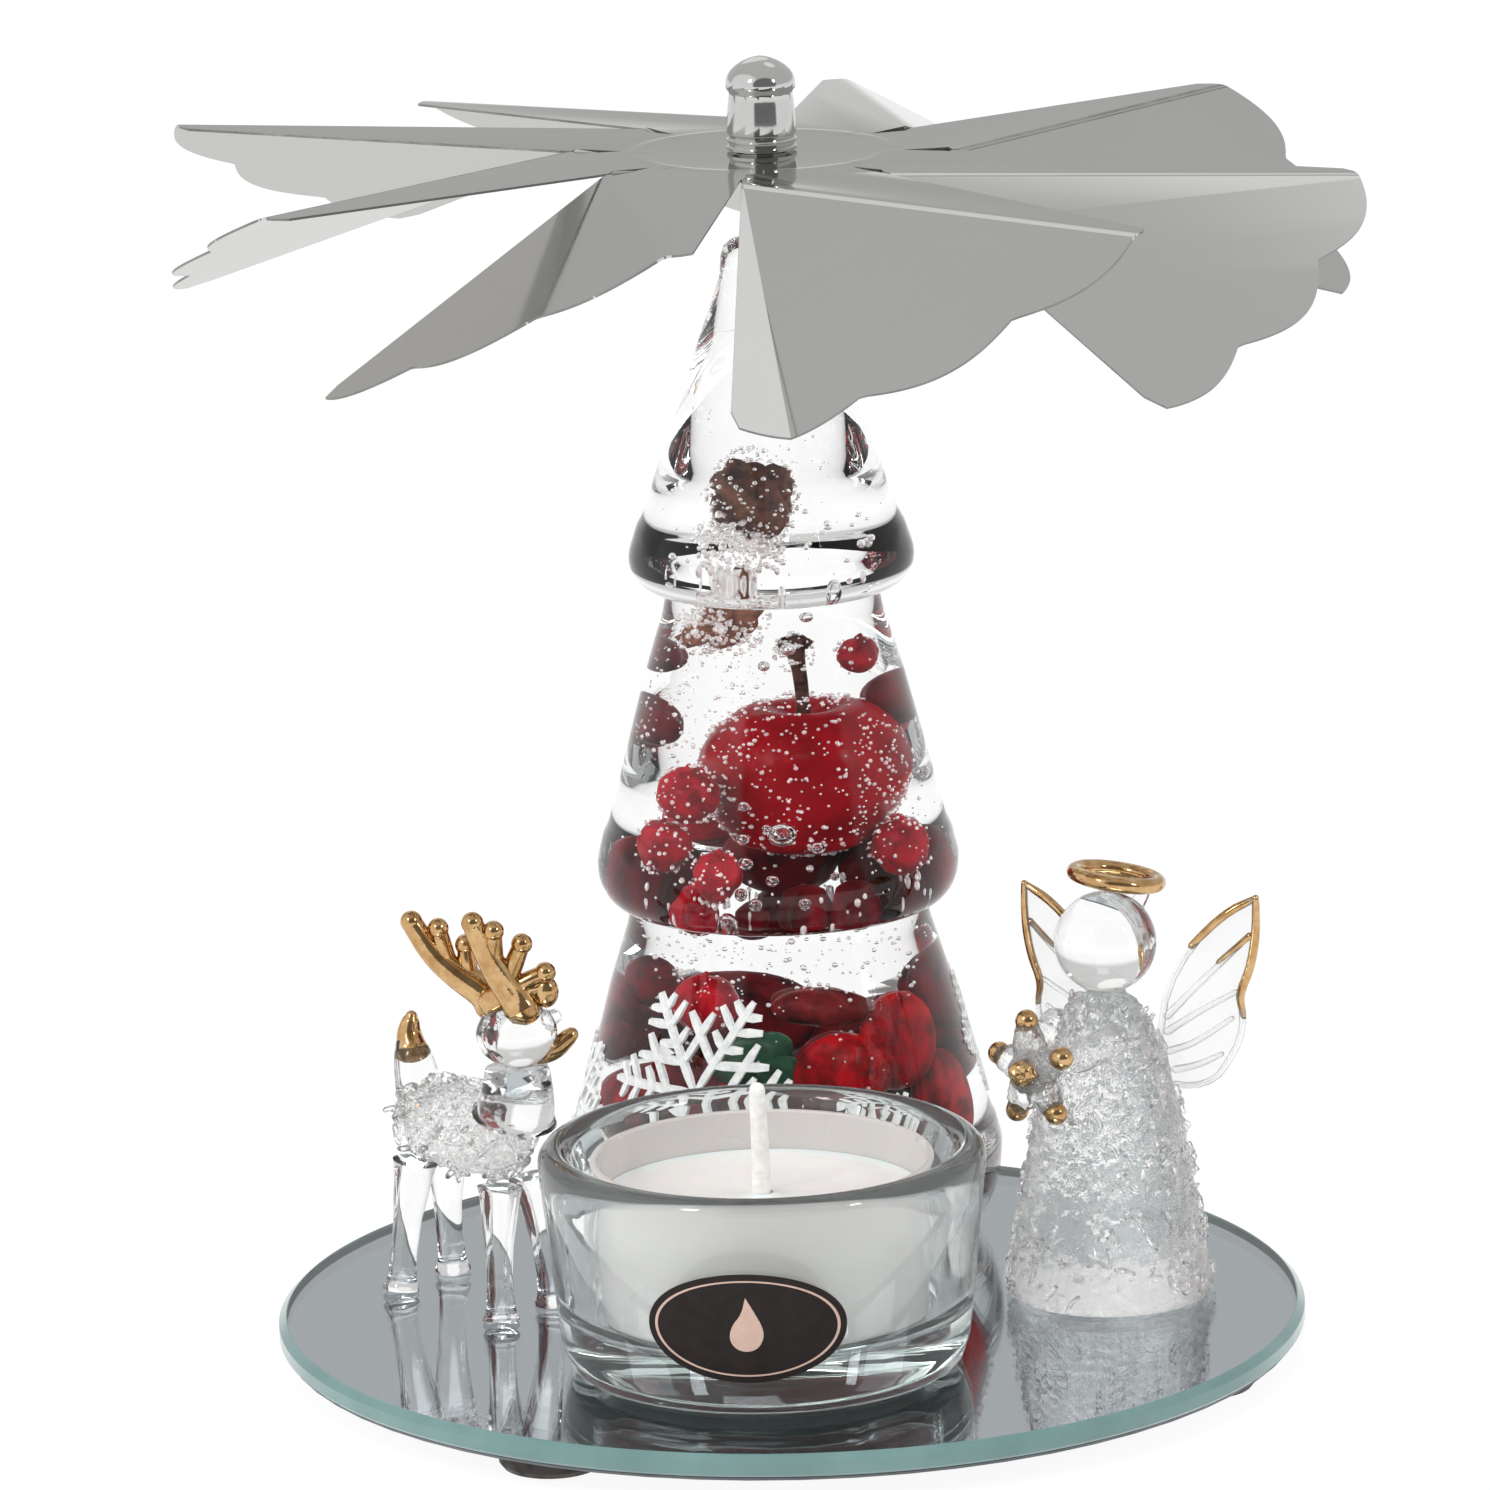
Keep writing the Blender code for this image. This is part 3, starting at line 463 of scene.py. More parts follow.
def make_base():
    wide, top, low, bevel = PLATE_RADIUS, PLATE_TOP, 0.5, 0.8
    outline = [(0, low), (wide - 0.3, low), (wide, low + 0.3), (wide, top - bevel)]
    outline += [(wide - bevel, top - 0.06), (wide - bevel - 0.15, top), (0, top)]
    mesh = bmesh.new()
    add_turned(mesh, outline, (0, 0, 0), 192)
    layers = [PLATE_GLASS, SILVER, EDGE_GLASS]
    for face in mesh.faces:
        heights = [corner.co.z for corner in face.verts]
        if max(heights) < low + 1e-4:
            face.material_index = layers.index(SILVER)
        elif min(heights) < top - 1e-4:
            face.material_index = layers.index(EDGE_GLASS)
    piece("mirror_plate_glass", mesh, layers, "mirror_plate", sharp=20)
    outline = [(0, -3.0), (4.6, -3.0), (5.5, -2.75), (6.0, -2.1), (6.0, -GAP), (0, -GAP)]
    for number, angle in enumerate(FOOT_ANGLES, 1):
        place = polar(FOOT_CIRCLE, math.radians(angle))
        node = f"foot_{number}"
        turned_piece(f"bump_{node}", outline, place, RUBBER, node, "foot_rubber", segments=48)


# The tree


def tier_outline(inset):
    """The tree's side from its foot up to the last rim and the nub, pulled in by inset."""
    ends = [(neck - inset, neck_z) for neck, neck_z, _, _ in TIERS[1:]]
    ends.append((NUB_RADIUS - inset / 2, NUB_FOOT - inset * 2.5))
    points = []
    for (neck, neck_z, rim, rim_z), (above, above_z) in zip(TIERS, ends):
        neck, rim = neck - inset, rim - inset
        points += arc((neck, rim_z), (rim - neck, rim_z - neck_z), -90, 0, 9)
        for share in (0.025, 0.05, 0.08, 0.12, 0.16, 0.4, 0.7):
            shoulder = min(0.3, 0.45 * max(0.0, 1 - share / 0.16) * share / 0.04)
            points.append((rim + (above - rim) * share + shoulder, rim_z + (above_z - rim_z) * share))
        points += [(above + 0.3, above_z - 2.4), (above + 0.05, above_z - 0.9)]
    return points[:-2] + [ends[-1]]


TREE_SIDE = tier_outline(0.0)


def gel_radius(height):
    return radius_at(TREE_SIDE, height) - TREE_WALL - 0.5


def make_tree():
    outer = [(0, TREE_FOOT), (19.9, TREE_FOOT), (20.6, TREE_FOOT + 0.25)] + TREE_SIDE
    outer += [(5.2, NUB_TOP - 2.2), (4.8, NUB_TOP - 1.0), (4.0, NUB_TOP - 0.35), (2.6, NUB_TOP), (0, NUB_TOP)]
    shape = {"segments": 128, "wobble": 0.05}
    turned_piece("tree_glass_body", outer, TREE, TREE_GLASS, "tree_vessel", "tree_glass", **shape)
    inner = [point for point in tier_outline(TREE_WALL) if point[1] > TREE_FOOT + 5]
    ceiling = inner[-1][1] + 1.0
    floor = TREE_FOOT + 3.2
    outline = [(0, floor), (16.4, floor), (17.2, floor + 1.0)] + inner + [(1.6, ceiling - 0.3), (0, ceiling)]
    turned_piece("gel_core", outline, TREE, GEL, "gel_filling", "clear_gel", wobble=0.12)


# Where things are in the gel, from the tree's axis. A round fruit is x, y, z and radius.
APPLE = Vector((2.5, 0.0, 58.5))
APPLE_RADII = (9.3, 9.3, 9.8)
STALK_TOP = 74.4
BERRIES = (
    (-9.1, -6.5, 58.1, 3.4), (-11.5, -5.0, 51.4, 3.0), (-6.5, -11.0, 49.5, 2.6), (-8.5, -7.5, 44.6, 2.8),
    (8.0, -2.0, 73.5, 2.2), (12.0, -4.0, 50.3, 3.2), (-7.9, -8.0, 33.0, 3.6), (-15.0, -2.0, 19.0, 3.5),
    (-4.0, 11.0, 50.0, 3.4), (6.0, 11.0, 47.0, 3.2),
)
FRUITS = (
    ("cranberry_slice", (3.6, -8.0, 32.4), (5.0, 3.6, 2.3), 6, CRANBERRY, "cranberry"),
    ("rosehip_1", (5.6, -9.6, 24.6), (4.9, 3.4, 5.2), 14, HIP_SKIN, "rosehip_red"),
    ("rosehip_2", (11.4, -6.6, 27.6), (4.2, 3.6, 6.2), 8, HIP_SKIN, "rosehip_red"),
    ("rosehip_3", (15.6, -3.0, 19.0), (3.4, 3.4, 6.4), -12, HIP_SKIN, "rosehip_red"),
    ("rosehip_4", (-7.0, 9.0, 15.0), (5.5, 5.0, 6.0), 20, HIP_SKIN, "rosehip_red"),
)
# More of the same fruit, packed into the foot of each tier. Their skin is the fruit's red made much darker,
# nearly black in patches: painted shade between and behind the fruit
PACKED = (
    (0.5, 6.5, 47.0, 4.6), (-9.5, 4.0, 45.5, 4.2), (9.5, 4.5, 45.5, 4.4), (-12.6, 0.8, 47.2, 3.2),
    (13.0, 1.5, 47.0, 3.3), (2.5, -5.5, 44.0, 3.0), (7.5, -6.8, 44.6, 2.8), (-2.8, -7.0, 43.6, 2.4),
    (-10.5, 4.5, 64.0, 3.0), (9.5, 5.0, 66.0, 2.8), (-9.0, 5.5, 72.0, 2.6), (-13.5, 7.0, 27.0, 5.0),
    (-3.0, 10.0, 26.0, 6.0), (9.0, 8.0, 22.0, 6.5), (14.0, 6.0, 30.0, 4.5), (0.0, 2.0, 16.0, 6.0),
    (-14.5, -5.0, 14.5, 4.4), (12.5, -7.5, 14.0, 5.0), (4.0, -13.0, 14.0, 4.6), (-6.0, -12.5, 15.0, 4.8),
    (-16.2, 1.5, 26.0, 3.0), (-10.0, -8.5, 23.5, 3.6), (-12.0, 0.0, 33.5, 3.0),
)
BUD_MIDDLE = Vector((-1.6, -1.0, 92.0))


def ribbed(ribs, depth):
    """A ball's shape with ribs from pole to pole and a flatter top."""

    def shape(point):
        around = math.atan2(point.y, point.x)
        return 1 + depth * math.cos(ribs * around) * (1 - point.z * point.z) - 0.06 * max(0, point.z) ** 4

    return shape


def lumpy(size, depth, seed):
    def shape(point):
        return 1 + depth * noise.noise(point * size + Vector((seed, 0, 0)))

    return shape


def gel_piece(name, lumps, finish, node):
    """A piece of balls in the gel: each has a centre, radii, level, tilt in degrees and shape."""
    mesh = bmesh.new()
    for centre, radii, level, tilt, shape in lumps:
        turn = Matrix.Rotation(math.radians(tilt), 3, "Y")
        add_ball(mesh, TREE + Vector(centre), radii, level, turn, shape)
    piece(name, mesh, finish, node)


def make_fruit():
    for number, (*centre, radius) in enumerate(BERRIES):
        name = f"berry_{number + 1}"
        middle = TREE + Vector(centre)
        crown = [middle + Vector((0, 0, radius * 0.9)), middle + Vector((0.2, 0, radius * 1.05))]
        mesh = bmesh.new()
        add_ball(mesh, middle, [radius] * 3, 4, None, lumpy(2.2, 0.09, number * 7.0))
        add_tube(mesh, crown, [0.5, 0.3], 8)
        piece(f"{name}_fruit", mesh, BERRY_SKIN, name)
    for name, centre, radii, tilt, finish, slot in FRUITS:
        gel_piece(f"{name}_fruit", [(centre, radii, 5, tilt, ribbed(5, 0.12))], finish, name)
    lumps = []
    for number, (*centre, radius) in enumerate(PACKED):
        swell = (radius, radius * 0.9, radius * (0.9 + 0.08 * (number % 5)))
        lumps.append((centre, swell, 4, 37 * number, ribbed(6, 0.05 + 0.02 * (number % 3))))
    gel_piece("packed_fruit", lumps, PACKED_SKIN_PAINTED_SHADE, None)


def make_apple():
    around, _, tall = APPLE_RADII
    side = [(around * 0.2, -tall * 0.88), (around * 0.42, -tall * 0.93), (around * 0.66, -tall * 0.84)]
    side += arc((0, 0), (around, tall), -44, 44, 10)
    side += [(around * 0.56, tall * 0.86), (around * 0.38, tall * 0.87), (around * 0.2, tall * 0.8)]
    outline = [(0, -tall * 0.8), *(tuple(point) for point in softened(side, 1)), (0, tall * 0.66)]
    shape = {"segments": 64, "wobble": 0.35}
    turned_piece("apple_fruit", outline, TREE + APPLE, APPLE_SKIN, "apple", "apple_red", **shape)
    foot = TREE + APPLE + Vector((0, 0, tall * 0.66 + 0.2))
    head = TREE + Vector((APPLE.x - 0.7, APPLE.y, STALK_TOP))
    mesh = bmesh.new()
    add_tube(mesh, [foot, foot.lerp(head, 0.5) + Vector((0.2, 0, 0)), head], [0.75, 0.6, 0.65, 1.0], 14)
    add_ball(mesh, head + Vector((0, 0, 0.4)), (1.35, 1.3, 0.95), 4, None, lumpy(3.0, 0.3, 3.0))
    piece("apple_stalk", mesh, BARK, "apple_stem")


def make_dried():
    """The dried rosebud with its petals, the loose petal and the leaf sprig."""
    lumps = [(BUD_MIDDLE, (3.1, 3.1, 5.0), 4, -12, lumpy(2.0, 0.22, 9.0))]
    for leaf in range(7):
        turn = leaf * 2.4
        place = BUD_MIDDLE + polar(1.7, turn, 1.6 - leaf * 0.75)
        lumps.append((place, (1.9, 1.5, 2.6), 3, -12 + 25 * math.cos(turn), lumpy(2.4, 0.3, leaf * 3.0)))
    gel_piece("rose_bud_dried", lumps, BUD, "rose_bud")
    lumps = (
        ((-3.6, -1.5, 79.6), (2.6, 1.7, 4.6), 4, 20, lumpy(2.1, 0.35, 21.0)),
        ((-6.8, -2.0, 76.6), (2.6, 1.2, 1.4), 3, -20, lumpy(2.1, 0.35, 4.0)),
    )
    gel_piece("petal_dried", lumps, PETAL, "dried_petal")
    lumps = (
        ((-3.6, -9.0, 26.5), (4.2, 0.9, 2.8), 4, -25, ribbed(5, 0.16)),
        ((-0.4, -9.6, 24.0), (2.6, 0.7, 3.2), 3, 30, ribbed(5, 0.16)),
    )
    gel_piece("leaf_sprig", lumps, LEAF_GREEN, "leaf")


def any_way():
    """A random direction."""
    return Vector([dice.gauss(0, 1) for _ in range(3)]).normalized()


def add_bubble(mesh, spot, size, inset=0.0):
    """A small bubble where there is gel, inset from its side. The tiniest have fewer faces."""
    if math.hypot(spot.x, spot.y) < gel_radius(spot.z) - inset:
        add_ball(mesh, TREE + spot, [size] * 3, 1 if size < TINY_BUBBLE else 2)


def make_froth():
    """The fine air bubbles: on the fruit, in two clouds and loose in the gel."""
    mesh = bmesh.new()
    # How many, the middle and radii of what they lie on, and how far down it they reach
    coats = [(800, APPLE, APPLE_RADII, -1.0), (320, APPLE, (9.0, 9.0, 9.2), 0.62)]
    coats.append((90, (1.8, 0, 73.6), (1.6, 1.6, 2.2), -1))
    for count, (*centre, radius) in zip((90, 80, 60, 60, 26, 70, 34), BERRIES):
        coats.append((count, centre, [radius + 0.1] * 3, -1))
    coats += [(260, BUD_MIDDLE, (3.9, 3.9, 6.2), -1), (200, (-3.8, -1.5, 79), (3.4, 2.2, 4.8), -1)]
    fruit_coats = ((30, (4.1, 3.3, 2.3), 0.2), (24, (4.5, 3.3, 4.7), 0.1), (24, (3.9, 3.3, 5.1), 0.2))
    coats += [(count, fruit[1], radii, low) for fruit, (count, radii, low) in zip(FRUITS, fruit_coats)]
    for count, centre, radii, low in coats:
        for _ in range(count):
            way = any_way()
            if way.z < low:
                way.z = abs(way.z)
            if way.z < low:
                continue
            size = 0.12 + 0.17 * dice.random() ** 2
            add_bubble(mesh, scaled(way, [wide + size for wide in radii]) + Vector(centre), size)
    clouds = ((420, (-3.0, -3.2, 86.6), (4.4, 3.0, 5.2)), (260, (-6.2, -2.6, 77.4), (4.6, 2.6, 3.0)))
    for count, centre, radii in clouds:
        for _ in range(count):
            way = any_way() * dice.random() ** 0.4
            size = 0.13 + 0.3 * dice.random() ** 3
            add_bubble(mesh, scaled(way, radii) + Vector(centre), size, size)
    # Loose ones: how many, lowest and highest, left and right, smallest and largest
    for count, low, high, left, right, small, large in (
        (330, 60, 78, -14, -1, 0.1, 0.3), (150, 41, 49, -15, 15, 0.16, 0.5),
        (170, 32, 40.5, -14, 14, 0.12, 0.36), (90, 80, 90, -10, 10, 0.12, 0.42),
        (60, 88, 104, -8, 6, 0.1, 0.24), (90, 46, 60, 7, 15, 0.12, 0.34), (90, 20, 38, -15, 15, 0.1, 0.28),
    ):
        for _ in range(count):
            height = dice.uniform(low, high)
            reach = gel_radius(height) - 0.3
            x = dice.uniform(left, right)
            if abs(x) > reach:
                continue
            y = dice.uniform(-1, 0.6) * math.sqrt(reach * reach - x * x)
            size = small + (large - small) * dice.random() ** 3
            add_bubble(mesh, Vector((x, y, height)), size)
    piece("air_froth", mesh, FROTH, None)


def make_bubbles():
    """A few large bubbles against the front of the glass."""
    mesh = bmesh.new()
    for x, height, size in (
        (0.3, 55.0, 1.425), (4.2, 53.4, 0.75), (-4.0, 54.6, 0.675), (-3.8, 58.4, 0.6), (-3.8, 51.9, 0.75),
        (-1.4, 56.0, 0.45), (-0.9, 50.1, 0.63), (-4.4, 48.6, 0.63), (-2.8, 47.6, 0.675), (2.6, 47.6, 0.63),
        (6.0, 50.2, 0.45), (1.4, 76.2, 0.75), (-1.2, 74.4, 0.6), (3.6, 82.6, 0.975), (6.4, 84.2, 0.75),
        (3.4, 79.8, 0.675), (-5.2, 82.5, 0.525), (2.4, 44.8, 0.75), (-5.8, 45.6, 1.05),
    ):
        reach = gel_radius(height) - size - 0.5
        y = -math.sqrt(max(1.0, reach * reach - x * x))
        add_ball(mesh, TREE + Vector((x, y, height)), [size * 1.15, size * 1.15, size], 3)
    piece("air_bubbles", mesh, AIR, None)


def on_tree(facing, u, v, lift):
    """A point off the tree's side: u runs round it from facing, v is its height."""
    radius = radius_at(TREE_SIDE, v)
    return TREE + polar(radius + lift, facing + u / radius, v)


def add_bar(mesh, facing, start, end, width, height):
    """A raised enamel bar on the tree's side, from start to end as (u, v)."""
    along = (end - start).normalized()
    aside = Vector((-along.y, along.x)) * width / 2
    steps = max(2, int((end - start).length / 1.2))
    rows = []
    for step in range(steps + 1):
        middle = start.lerp(end, step / steps)
        taper = 0.65 if step in (0, steps) else 1.0
        row = []
        for side, lift in ((-1, -0.1), (-0.7, height), (0.7, height), (1, -0.1)):
            spot = middle + aside * side * taper
            row.append(mesh.verts.new(on_tree(facing, spot.x, spot.y, lift)))
        rows.append(row)
    for row, following in zip(rows, rows[1:]):
        join_rings(mesh, row, following)
    mesh.faces.new(rows[0])
    mesh.faces.new(rows[-1][::-1])


def make_snowflakes():
    """Six-armed flakes on the tree's side. Each row is the way it faces, its height and its size."""
    mesh = bmesh.new()
    largest = 12.4
    for facing, height, size in (
        (-118, 25.5, largest), (-176, 20.0, 9.0), (-62, 17.5, 8.0),
        (125, 26.0, 12.0), (65, 19.0, 9.0), (8, 27.0, 8.5),
    ):
        facing = math.radians(facing)
        width = 1.12 * size / largest
        middle = Vector((0, height))
        for arm in range(30, 390, 60):
            outward = Vector((math.sin(math.radians(arm)), math.cos(math.radians(arm))))
            add_bar(mesh, facing, middle + outward * 0.6, middle + outward * size, width, 0.42)
            for share, reach in ((0.31, 0.55), (0.48, 0.2), (0.67, 0.28), (0.83, 0.18)):
                knot = middle + outward * size * share
                for bend in (math.radians(arm - 60), math.radians(arm + 60)):
                    twig = Vector((math.sin(bend), math.cos(bend)))
                    add_bar(mesh, facing, knot, knot + twig * size * reach, width, 0.36)
    piece("snowflake_enamel", mesh, ENAMEL)


# The rotor


def rim_radius(angle):
    return LOBE_VALLEY + LOBE_HEIGHT * abs(math.sin(math.pi * (angle + LOBE_SHIFT) / LOBE_PITCH))


def blade_outline():
    """The flat sheet of one blade from the hub's ring outwards, its leading slit along +X."""
    points = [ray(BLADE_PITCH * step / 6) * HUB_RADIUS for step in range(7)]
    notch = SLIT_START - 0.6
    along = ray(BLADE_PITCH)
    aside = Vector((along.y, -along.x)) * SLIT_HALF_WIDTH
    points += [along * notch, along * SLIT_START + aside, along * (LOBE_VALLEY - 1.2) + aside]
    steps = 60
    for step in range(steps, -1, -1):
        angle = math.radians(1.0) + (BLADE_PITCH - math.radians(2.2)) * step / steps
        points.append(ray(angle) * rim_radius(angle))
    points += [Vector((LOBE_VALLEY - 0.8, SLIT_HALF_WIDTH)), Vector((SLIT_START, SLIT_HALF_WIDTH))]
    return points + [Vector((notch, 0))]


def fold_line(end_angle=FOLD_END):
    """A point on a fold from the slit's end, its direction, and the direction to the leading corner."""
    start = Vector((SLIT_START, SLIT_HALF_WIDTH))
    end = ray(end_angle) * rim_radius(end_angle)
    along = (end - start).normalized()
    return start, along, Vector((along.y, -along.x))


def creased(point, crease_turn):
    """Where a point of the flat sheet goes when its leading strip is turned up on the crease."""
    start, along, across = fold_line(CREASE_END)
    offset = Vector((point.x, point.y)) - start
    depth = offset.dot(across)
    if depth <= 0 or offset.dot(along) < 0:
        return point.x, point.y, 0.0
    flat = start + along * offset.dot(along) + across * depth * math.cos(crease_turn)
    return flat.x, flat.y, depth * math.sin(crease_turn)


def bent(point, fold_angle, rise, crease_turn):
    """Where a point of the flat blade goes once the blade is folded and its end is lifted."""
    start, along, across = fold_line()
    x, y, above = creased(point, crease_turn) if crease_turn else (point.x, point.y, 0.0)
    flat = Vector((x, y))
    offset = flat - start
    depth = offset.dot(across)
    height = 0.0
    if depth > 0:
        turn = min(depth / FOLD_RADIUS, fold_angle)
        rest = max(0.0, depth - FOLD_RADIUS * fold_angle)
        reach = FOLD_RADIUS * math.sin(turn) + rest * math.cos(fold_angle) + above * math.sin(turn)
        height = -FOLD_RADIUS * (1 - math.cos(turn)) - rest * math.sin(fold_angle) + above * math.cos(turn)
        flat = start + along * offset.dot(along) + across * reach
    beyond = max(0.0, flat.length - SLIT_START) / (LOBE_VALLEY - SLIT_START)
    return Vector((flat.x, flat.y, height + rise * beyond))


def make_blade(number):
    """The mesh data of one folded blade, turned to its place."""
    degrees, rise = BLADE_BENDS[number]
    fold_angle = math.radians(degrees)
    blade = bmesh.new()
    blade.faces.new([blade.verts.new((point.x, point.y, 0)) for point in blade_outline()])
    # The sheet is cut along the fold and beside it, so that it can bend there
    start, _, across = fold_line()
    width = FOLD_RADIUS * fold_angle
    depths = [width * step / 5 for step in range(6)] + [width + 8 * step for step in range(1, 5)]
    lines = [(start + across * depth, across) for depth in depths + [-6, -14, -24]]
    crease_turn = 0.0
    if number == FRONT_BLADE:
        crease_turn = CREASE_TURN
        lines.append(fold_line(CREASE_END)[::2])
    for place, normal in lines:
        everything = blade.verts[:] + blade.edges[:] + blade.faces[:]
        bmesh.ops.bisect_plane(blade, geom=everything, plane_co=(*place, 0), plane_no=(*normal, 0))
    for corner in blade.verts:
        corner.co = bent(corner.co, fold_angle, rise, crease_turn)
    blade.transform(Matrix.Rotation(FIRST_SLIT + BLADE_PITCH * number, 4, "Z"))
    data = bpy.data.meshes.new("blade")
    blade.to_mesh(data)
    blade.free()
    return data


def make_rotor():
    mesh = bmesh.new()
    for number in range(BLADES):
        data = make_blade(number)
        mesh.from_mesh(data)
        bpy.data.meshes.remove(data)
    bmesh.ops.remove_doubles(mesh, verts=mesh.verts, dist=0.01)
    inside = HUB_RADIUS + 0.4
    ring = [edge for edge in mesh.edges if edge.is_boundary]
    ring = [edge for edge in ring if all(end.co.length < inside for end in edge.verts)]
    # The hub, as radius and height: over the low ring pressed into the sheet, then flat in to the hole
    for radius, height in (
        (16.2, 0.0), (15.7, 0.03), (15.1, 0.08), (14.6, 0.08), (14.0, 0.03), (13.5, 0.0), (5.0, 0.0),
        (3.3, 0.0),
    ):
        grown = bmesh.ops.extrude_edge_only(mesh, edges=ring)["geom"]
        for corner in grown:
            if isinstance(corner, bmesh.types.BMVert):
                outward = Vector((corner.co.x, corner.co.y, 0)).normalized()
                corner.co = outward * radius + Vector((0, 0, height))
        ring = [part for part in grown if isinstance(part, bmesh.types.BMEdge) and part.is_boundary]
    bmesh.ops.recalc_face_normals(mesh, faces=mesh.faces)
    bmesh.ops.solidify(mesh, geom=mesh.faces[:], thickness=DISC_THICKNESS)
    layers = [SHEET, CUT_EDGE]
    for face in mesh.faces:
        thin = [edge for edge in face.edges if abs(edge.calc_length() - DISC_THICKNESS) < 0.05]
        if len(thin) == 2 and len(face.verts) == 4:
            face.material_index = layers.index(CUT_EDGE)
    bmesh.ops.translate(mesh, vec=TREE + Vector((0, 0, DISC_TOP)), verts=mesh.verts)
    piece("rotor_blades", mesh, layers, "rotor_disc", "rotor", 25)


def make_cap():
    seat = DISC_TOP + GAP
    # Radius and height over the seat: the bore, the spigot, two grooves, the body, the flare and the dome
    profile = (
        (0, 8.9), (2.4, 8.9), (2.4, -1.9), (3.0, -1.9), (3.0, 0), (4.1, 0), (4.1, 0.3), (3.85, 0.5),
        (3.85, 0.7), (4.05, 0.95), (4.1, 1.15), (3.85, 1.4), (3.85, 1.55), (4.12, 1.9), (4.12, 2.3),
        (4.05, 3.4), (3.88, 5.4), (3.72, 6.5), (3.76, 6.8), (4.05, 7.15), (4.12, 7.6), (4.06, 8.2),
        (3.84, 8.75), (3.5, 9.25), (2.9, 9.8), (2.1, 10.3), (1.1, 10.7), (0, 10.9),
    )
    outline = [(radius, seat + height) for radius, height in profile]
    turned_piece("chrome_cap", outline, TREE, CHROME, "bearing_cap", "cap_chrome", "rotor", wobble=0.03)


# The tealight and its holder


def make_holder():
    foot, rim, wide, floor = PLATE_TOP + GAP, HOLDER_RIM, HOLDER_RADIUS, HOLDER_FLOOR
    outline = [(0, foot + 0.5), (17.0, foot + 0.5), (19.4, foot), (20.6, foot), (21.8, foot + 0.25)]
    outline += [(22.6, foot + 1.0), (23.0, foot + 2.2), (23.35, foot + 3.4), (24.0, foot + 9)]
    outline += [(24.6, foot + 15), (25.1, foot + 20), (wide, rim - 2.4)]
    outline += arc((wide - 1.9, rim - 1.9), (1.9, 1.9), 12, 168, 14)
    outline += [(21.5, rim - 3.0), (21.1, rim - 5.5), (20.4, floor + 2.4), (20.0, floor + 0.9)]
    outline += [(19.2, floor + 0.15), (12.0, floor), (0, floor - 0.25)]
    shape = {"slot": "holder_glass", "segments": 144, "wobble": 0.06}
    turned_piece("holder_glass_cup", outline, HOLDER, HOLDER_GLASS, "tealight_holder", **shape)


def on_holder(across, height, lift):
    """A point just off the holder's side: across runs round it from the label's middle."""
    radius = 23.2 + 1.4 * (height - 6.1) / 12.2 + lift
    return HOLDER + polar(radius, LABEL_FACING + across / radius, height)


def add_oval(mesh, wide, tall, inner, lift, thickness, columns=96):
    """An oval sheet or ring on the holder's side. inner is the share of it that is left open."""
    shares = [inner + (1 - inner) * step / 5 for step in range(6)]
    rings = []
    for raised, outwards in ((lift, shares), (lift + thickness, shares[::-1])):
        for share in outwards:
            ring = []
            for x, y in circle(columns if share else 1):
                spot = on_holder(wide * share * x, LABEL_MIDDLE + tall * share * y, raised)
                ring.append(mesh.verts.new(spot))
            rings.append(ring if share else ring * columns)
    for ring, following in zip(rings, rings[1:] + rings[:1]):
        join_rings(mesh, ring, following)


def make_label():
    mesh = bmesh.new()
    add_oval(mesh, 11.5, 6.5, 0.0, 0.5, 0.14)
    piece("oval_label", mesh, FOIL, "holder_label")
    mesh = bmesh.new()
    add_oval(mesh, 10.7, 5.75, 0.968, 0.6, 0.08)
    flame = [(0, 3.74), (1.02, 1.87), (1.87, 0.17), (1.955, -1.19), (1.275, -2.38), (0, -2.805)]
    flame += [(-1.275, -2.38), (-1.955, -1.19), (-1.615, 0.34), (-0.51, 1.7)]
    outline = softened(flame + flame[:1])[:-1]
    layers = []
    for raised in (0.66, 0.8):
        layers.append([mesh.verts.new(on_holder(x, LABEL_MIDDLE + z, raised)) for x, z in outline])
    add_slab(mesh, *layers)
    piece("label_print", mesh, ROSE_INK, None)


